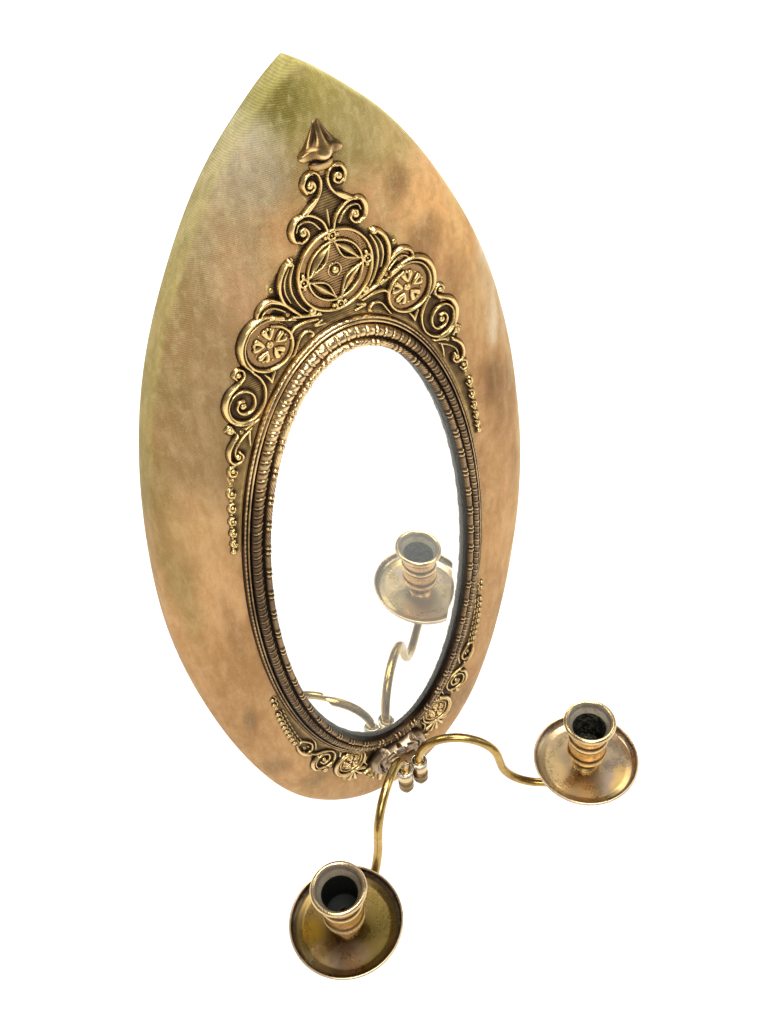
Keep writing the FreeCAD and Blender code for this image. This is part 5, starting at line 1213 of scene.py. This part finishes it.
def pan_zone(r, z):
    if r > PAN_R - 8.5 and z < (r - PAN_R + 8.5) * 0.55 - 0.2 and r < PAN_R + 1 and not (z > 5.2 and r < PAN_R - 0.4):
        inner = np.interp(r, [PAN_R - 8.0, PAN_R - 4.0, PAN_R - 2.1, PAN_R - 1.45, PAN_R - 1.35], [0.6, 1.8, 3.4, 5.6, 6.6])
        if r > PAN_R - 1.3 or z < inner - 0.45:
            return 1.0
    if z < -0.3:
        return 1.0
    if r > PAN_R - 3.2 and z < 6.3:
        return 0.5
    return 0.0


MAUVE, OCHRE, OLIVE = (0.36, 0.270, 0.200), (0.58, 0.38, 0.14), (0.20, 0.145, 0.038)
M_PANS = {
    # the right pan's golden patches at its sides and olive patch at the middle front are painted reflections
    "right": pan_material("pan_brass_right", CUPS["right"], (0.56, 0.405, 0.200), (0.44, 0.325, 0.190), [
        (5, 22, 15, 12, MAUVE, 0.8), (24, 6, 14, 14, MAUVE, 0.6), (7, 27, 7, 5, OCHRE, 0.9), (15, 22, 6, 6, OCHRE, 0.9),
        (-4, 31, 7, 4, OLIVE, 0.8), (-22, -10, 9, 18, (0.66, 0.47, 0.22), 0.8), (-14, 16, 6, 9, (0.62, 0.44, 0.22), 0.5)],
        ((0.26, 0.22, 0.20), (0.50, 0.42, 0.36))),
    "left": pan_material("pan_brass_left", CUPS["left"], (0.165, 0.108, 0.032), (0.215, 0.145, 0.052), [
        (-15, 14, 17, 13, (0.24, 0.172, 0.110), 0.85), (-8, 24, 10, 9, (0.21, 0.150, 0.098), 0.7),
        (-21, -8, 9, 8, (0.25, 0.15, 0.018), 0.95), (-2, 30, 7, 4.5, (0.17, 0.125, 0.030), 0.9),
        (16, 16, 13, 20, (0.165, 0.120, 0.032), 0.8), (-24, 6, 5, 6, (0.42, 0.31, 0.13), 0.6),
        (-26, 14, 5, 8, (0.40, 0.28, 0.12), 0.6)],
        ((0.10, 0.085, 0.085), (0.26, 0.21, 0.18)))}
# the first colour given for each cup is the painted shade inside its bore
M_CUPS = {"right": cup_material("cup_brass_right", (0.095, 0.092, 0.062), (0.34, 0.275, 0.20), (0.50, 0.44, 0.35)),
          "left": cup_material("cup_brass_left", (0.010, 0.013, 0.011), (0.27, 0.205, 0.14), (0.40, 0.335, 0.25))}
for i, (side, (cx, cd)) in enumerate(CUPS.items()):
    turned("pan_" + side, PAN_PROF, cx, cd, PAN_Z, side + "_arm", "drip_pan_" + side, M_PANS[side],
           zone=pan_zone, wob=0.10, seed=60 + i, n=192, step=0.55)
    turned("cup_" + side, CUP_PROF, cx, cd, PAN_Z, side + "_arm", "candle_cup_" + side, M_CUPS[side],
           zone=cup_zone, wob=0.03, seed=70 + i, n=160, step=0.4)

# ------------------------------------------------------------------ CAD nodes that stay
M_ROD = brass("rod_brass_old", hi=(0.80, 0.59, 0.25), gold=(0.50, 0.33, 0.105), mid=(0.32, 0.20, 0.060),
              low=(0.17, 0.100, 0.034), dark=(0.06, 0.034, 0.014), rough=(0.18, 0.32), source="point", patch=0.55,
              scale=42, fine=0.08)
M_RING = brass("bright_ring_metal", hi=(0.95, 0.92, 0.84), gold=(0.78, 0.74, 0.64), mid=(0.50, 0.45, 0.36),
               low=(0.20, 0.17, 0.12), rough=(0.16, 0.3), source="point", scale=90, patch=0.2)
M_NUT = brass("acorn_brass", hi=(0.44, 0.31, 0.15), gold=(0.27, 0.175, 0.078), mid=(0.190, 0.120, 0.056), low=(0.120, 0.074, 0.038),
              rough=(0.28, 0.42), source="point", scale=70)
M_BRACKET = brass("bracket_brass", hi=(0.60, 0.44, 0.22), gold=(0.30, 0.20, 0.10), mid=(0.16, 0.10, 0.055), low=(0.08, 0.05, 0.03),
                  source="point", scale=60)
M_PIN = brass("pin_brass_old", hi=(0.78, 0.56, 0.24), mid=(0.46, 0.28, 0.11), low=(0.22, 0.12, 0.05), source="point",
              scale=80)
M_PLATE = brass("plate_brass_old", hi=(0.74, 0.52, 0.20), mid=(0.48, 0.31, 0.11), low=(0.26, 0.15, 0.06),
                source="point", scale=40, rough=(0.3, 0.5))


def steel_material():
    m = Mat("old_steel")
    n1, n2 = m.noise(260, 5, 0.6), m.noise(1400, 3, 0.6)
    c = m.mix(m.span(n1, 0.4, 0.65), (0.42, 0.40, 0.37), (0.20, 0.12, 0.07))
    m.set(Base_Color=c, Metallic=1.0, Roughness=m.span(n1, 0.35, 0.7, 0.3, 0.6),
          Normal=m.bump(n2, 0.2, 0.0004))
    return m.m


def wood_material(name, a, b, rings=9.0, black_inside=False):
    m = Mat(name)
    v = m.mapped(rot=(0, 0, 0), scale=(6, 6, 0.55))
    w = m.t.nodes.new("ShaderNodeTexWave")
    w.wave_type, w.bands_direction = "BANDS", "X"
    m.put(w.inputs["Vector"], v)
    w.inputs["Scale"].default_value = rings
    w.inputs["Distortion"].default_value = 5.5
    w.inputs["Detail"].default_value = 3.0
    w.inputs["Detail Scale"].default_value = 1.3
    fine = m.noise(240, 5, 0.6, vec=m.mapped(scale=(6, 6, 0.4)))
    c = m.mix(w.outputs["Fac"], a, b)
    c = m.mix(m.span(fine, 0.4, 0.7, 0, 0.5), c, b)
    if black_inside:
        # the opening's edge is painted black, so the glass doesn't show it
        x, y, z = m.xyz()
        e = m.math("ADD", m.math("POWER", m.math("ABSOLUTE", m.math("DIVIDE", x, 0.0725)), 2.0),
                   m.math("POWER", m.math("ABSOLUTE", m.math("DIVIDE", m.math("ADD", z, 0.023), 0.1705)), 2.0))
        c = m.mix(m.span(e, 1.012, 0.995), c, m.mix(m.span(fine, 0.4, 0.7), (0.022, 0.024, 0.018), (0.05, 0.045, 0.03)))
    m.set(Base_Color=c, Roughness=m.span(fine, 0.3, 0.7, 0.55, 0.75), Normal=m.bump(fine, 0.25, 0.0005))
    return m.m


def card_material():
    m = Mat("brown_card")
    n1, n2 = m.noise(9, 6, 0.65, 0.3), m.noise(700, 4, 0.7, vec=m.mapped(scale=(1, 1, 2.4)))
    stain = m.noise(4.2, 5, 0.6, 0.8)
    c = m.mix(m.span(n1, 0.35, 0.65), (0.33, 0.22, 0.125), (0.25, 0.155, 0.085))
    c = m.mix(m.span(stain, 0.58, 0.66, 0, 0.5), c, (0.15, 0.09, 0.05))
    c = m.mix(m.span(n2, 0.5, 0.75, 0, 0.35), c, (0.44, 0.32, 0.20))
    m.set(Base_Color=c, Roughness=m.span(n2, 0.3, 0.7, 0.78, 0.92), Normal=m.bump(n2, 0.35, 0.0004))
    return m.m


def glass_material():
    """Old plate mirror: silvered, with faint haze and pinpricks near its edge."""
    m = Mat("silvered_mirror")
    x, y, z = m.xyz()
    xx = m.math("POWER", m.math("ABSOLUTE", m.math("DIVIDE", x, 0.0697)), 2.0)
    zz = m.math("POWER", m.math("ABSOLUTE", m.math("DIVIDE", m.math("ADD", z, 0.023), 0.1676)), 2.0)
    edge = m.span(m.math("ADD", xx, zz), 0.86, 1.0)
    n1, n2 = m.noise(160, 5, 0.7), m.noise(900, 4, 0.7)
    fox = m.math("MULTIPLY", edge, m.span(n1, 0.56, 0.72))
    c = m.mix(m.math("MULTIPLY", fox, 0.6), (0.92, 0.935, 0.86), (0.20, 0.17, 0.12))
    c = m.mix(m.math("MULTIPLY", edge, 0.18), c, (0.55, 0.68, 0.60))
    r = m.math("ADD", m.math("MULTIPLY", fox, 0.25), m.span(n2, 0.4, 0.8, 0.008, 0.022))
    m.set(Base_Color=c, Metallic=m.span(n2, 0.3, 0.8, 0.84, 0.80), Roughness=r)
    # shading only: a lean chosen so the reflection falls in place; the solid
    #     glass is flat and upright
    lean = m.math("ADD", m.math("MULTIPLY", x, -0.0205), m.math("MULTIPLY", z, 0.041))
    # shading only: the bevel is eased to a fifth of its true tilt
    g = m.t.nodes.new("ShaderNodeNewGeometry")
    gx, gy, gz = m.xyz(g.outputs["Normal"])
    ease = m.t.nodes.new("ShaderNodeMix")
    ease.data_type = "VECTOR"
    m.put(ease.inputs[0], m.math("MULTIPLY", m.span(gy, -0.80, -0.90), 0.8))
    m.put(ease.inputs[4], g.outputs["Normal"])
    ease.inputs[5].default_value = (0.0, -1.0, 0.0)
    m.set(Normal=m.bump(m.noise(11, 2, 0.5), 0.012, 0.002, m.bump(lean, 1.0, 1.0, ease.outputs[1])))
    return m.m


STEEL = steel_material()
for names, mat in (
        (("arm_right", "arm_left"), M_ROD),
        (("collar_right", "collar_left"), M_RING),
        (("acorn_nut_right", "acorn_nut_left"), M_NUT),
        (("arm_bracket",), M_BRACKET),
        (("frame_pins",), M_PIN),
        (("hanging_plate",), M_PLATE),
        (("boss_screw", "bracket_screws", "hanging_screws", "glazing_sprigs"), STEEL),
        (("backboard",), wood_material("pine_board", (0.58, 0.38, 0.19), (0.42, 0.24, 0.10), black_inside=True)),
        (("mirror_backing",), wood_material("backing_board", (0.46, 0.32, 0.19), (0.32, 0.20, 0.11), 6.0)),
        (("back_cover",), card_material()),
        (("mirror_glass",), glass_material())):
    for nm in names:
        use(nodes[nm], mat)

# ------------------------------------------------------------------ stage
me = bpy.data.meshes.new("floor")
F = 30.0
me.from_pydata([(-F, -F, -0.82), (F, -F, -0.82), (F, F, -0.82), (-F, F, -0.82)], [], [(0, 1, 2, 3)])
floor = link(bpy.data.objects.new("floor", me))
fm = Mat("floor_paint")
fm.set(Base_Color=fm.mix(fm.noise(0.8, 3, 0.5), (0.90, 0.90, 0.89), (0.93, 0.93, 0.925)), Roughness=0.9)
use(floor, fm.m)

world = bpy.data.worlds.new("studio")
bpy.context.scene.world = world
world.use_nodes = True
bg = world.node_tree.nodes["Background"]
bg.inputs[0].default_value = (0.93, 0.95, 1.0, 1)
bg.inputs[1].default_value = 0.28


def area(name, at, to, size, power, colour=(1, 1, 1)):
    li = bpy.data.lights.new(name, "AREA")
    li.shape, li.size, li.size_y, li.energy, li.color = "RECTANGLE", size[0], size[1], power, colour
    ob = link(bpy.data.objects.new(name, li))
    ob.location = Vector(at)
    ob.rotation_euler = (Vector(to) - Vector(at)).to_track_quat("-Z", "Y").to_euler()
    return ob


area("key_light", (-1.1, -1.5, 1.7), (0, 0, 0), (1.2, 0.9), 24, (1.0, 0.985, 0.96))
area("fill_light", (1.9, -1.1, 0.9), (0, 0, -0.05), (0.9, 1.6), 8, (0.96, 0.98, 1.0))
area("back_light", (1.7, 2.6, 2.3), (0, -0.05, -0.15), (2.4, 1.6), 60, (1.0, 0.98, 0.95))
sun = bpy.data.lights.new("sky_light", "SUN")
sun.energy, sun.angle = 3.0, math.radians(35)
sky = link(bpy.data.objects.new("sky_light", sun))
sky.rotation_euler = (math.radians(8), math.radians(4), 0)

cam = bpy.data.cameras.new("camera")
cam.lens, cam.sensor_width, cam.sensor_fit = 34.954, 36.0, "AUTO"
cam.clip_start, cam.clip_end = 0.02, 80.0
camera = link(bpy.data.objects.new("camera", cam))
rows = ((0.83275928, -0.54842501, -0.07577588), (0.42747806, 0.54997081, 0.71749189), (-0.35181598, -0.62989056, 0.69243296))
turn = Matrix(rows).transposed().to_4x4()
camera.matrix_world = Matrix.Translation((-0.18613, -0.38333, 0.41628)) @ turn
bpy.context.scene.camera = camera
bpy.context.scene.view_settings.view_transform = "Standard"
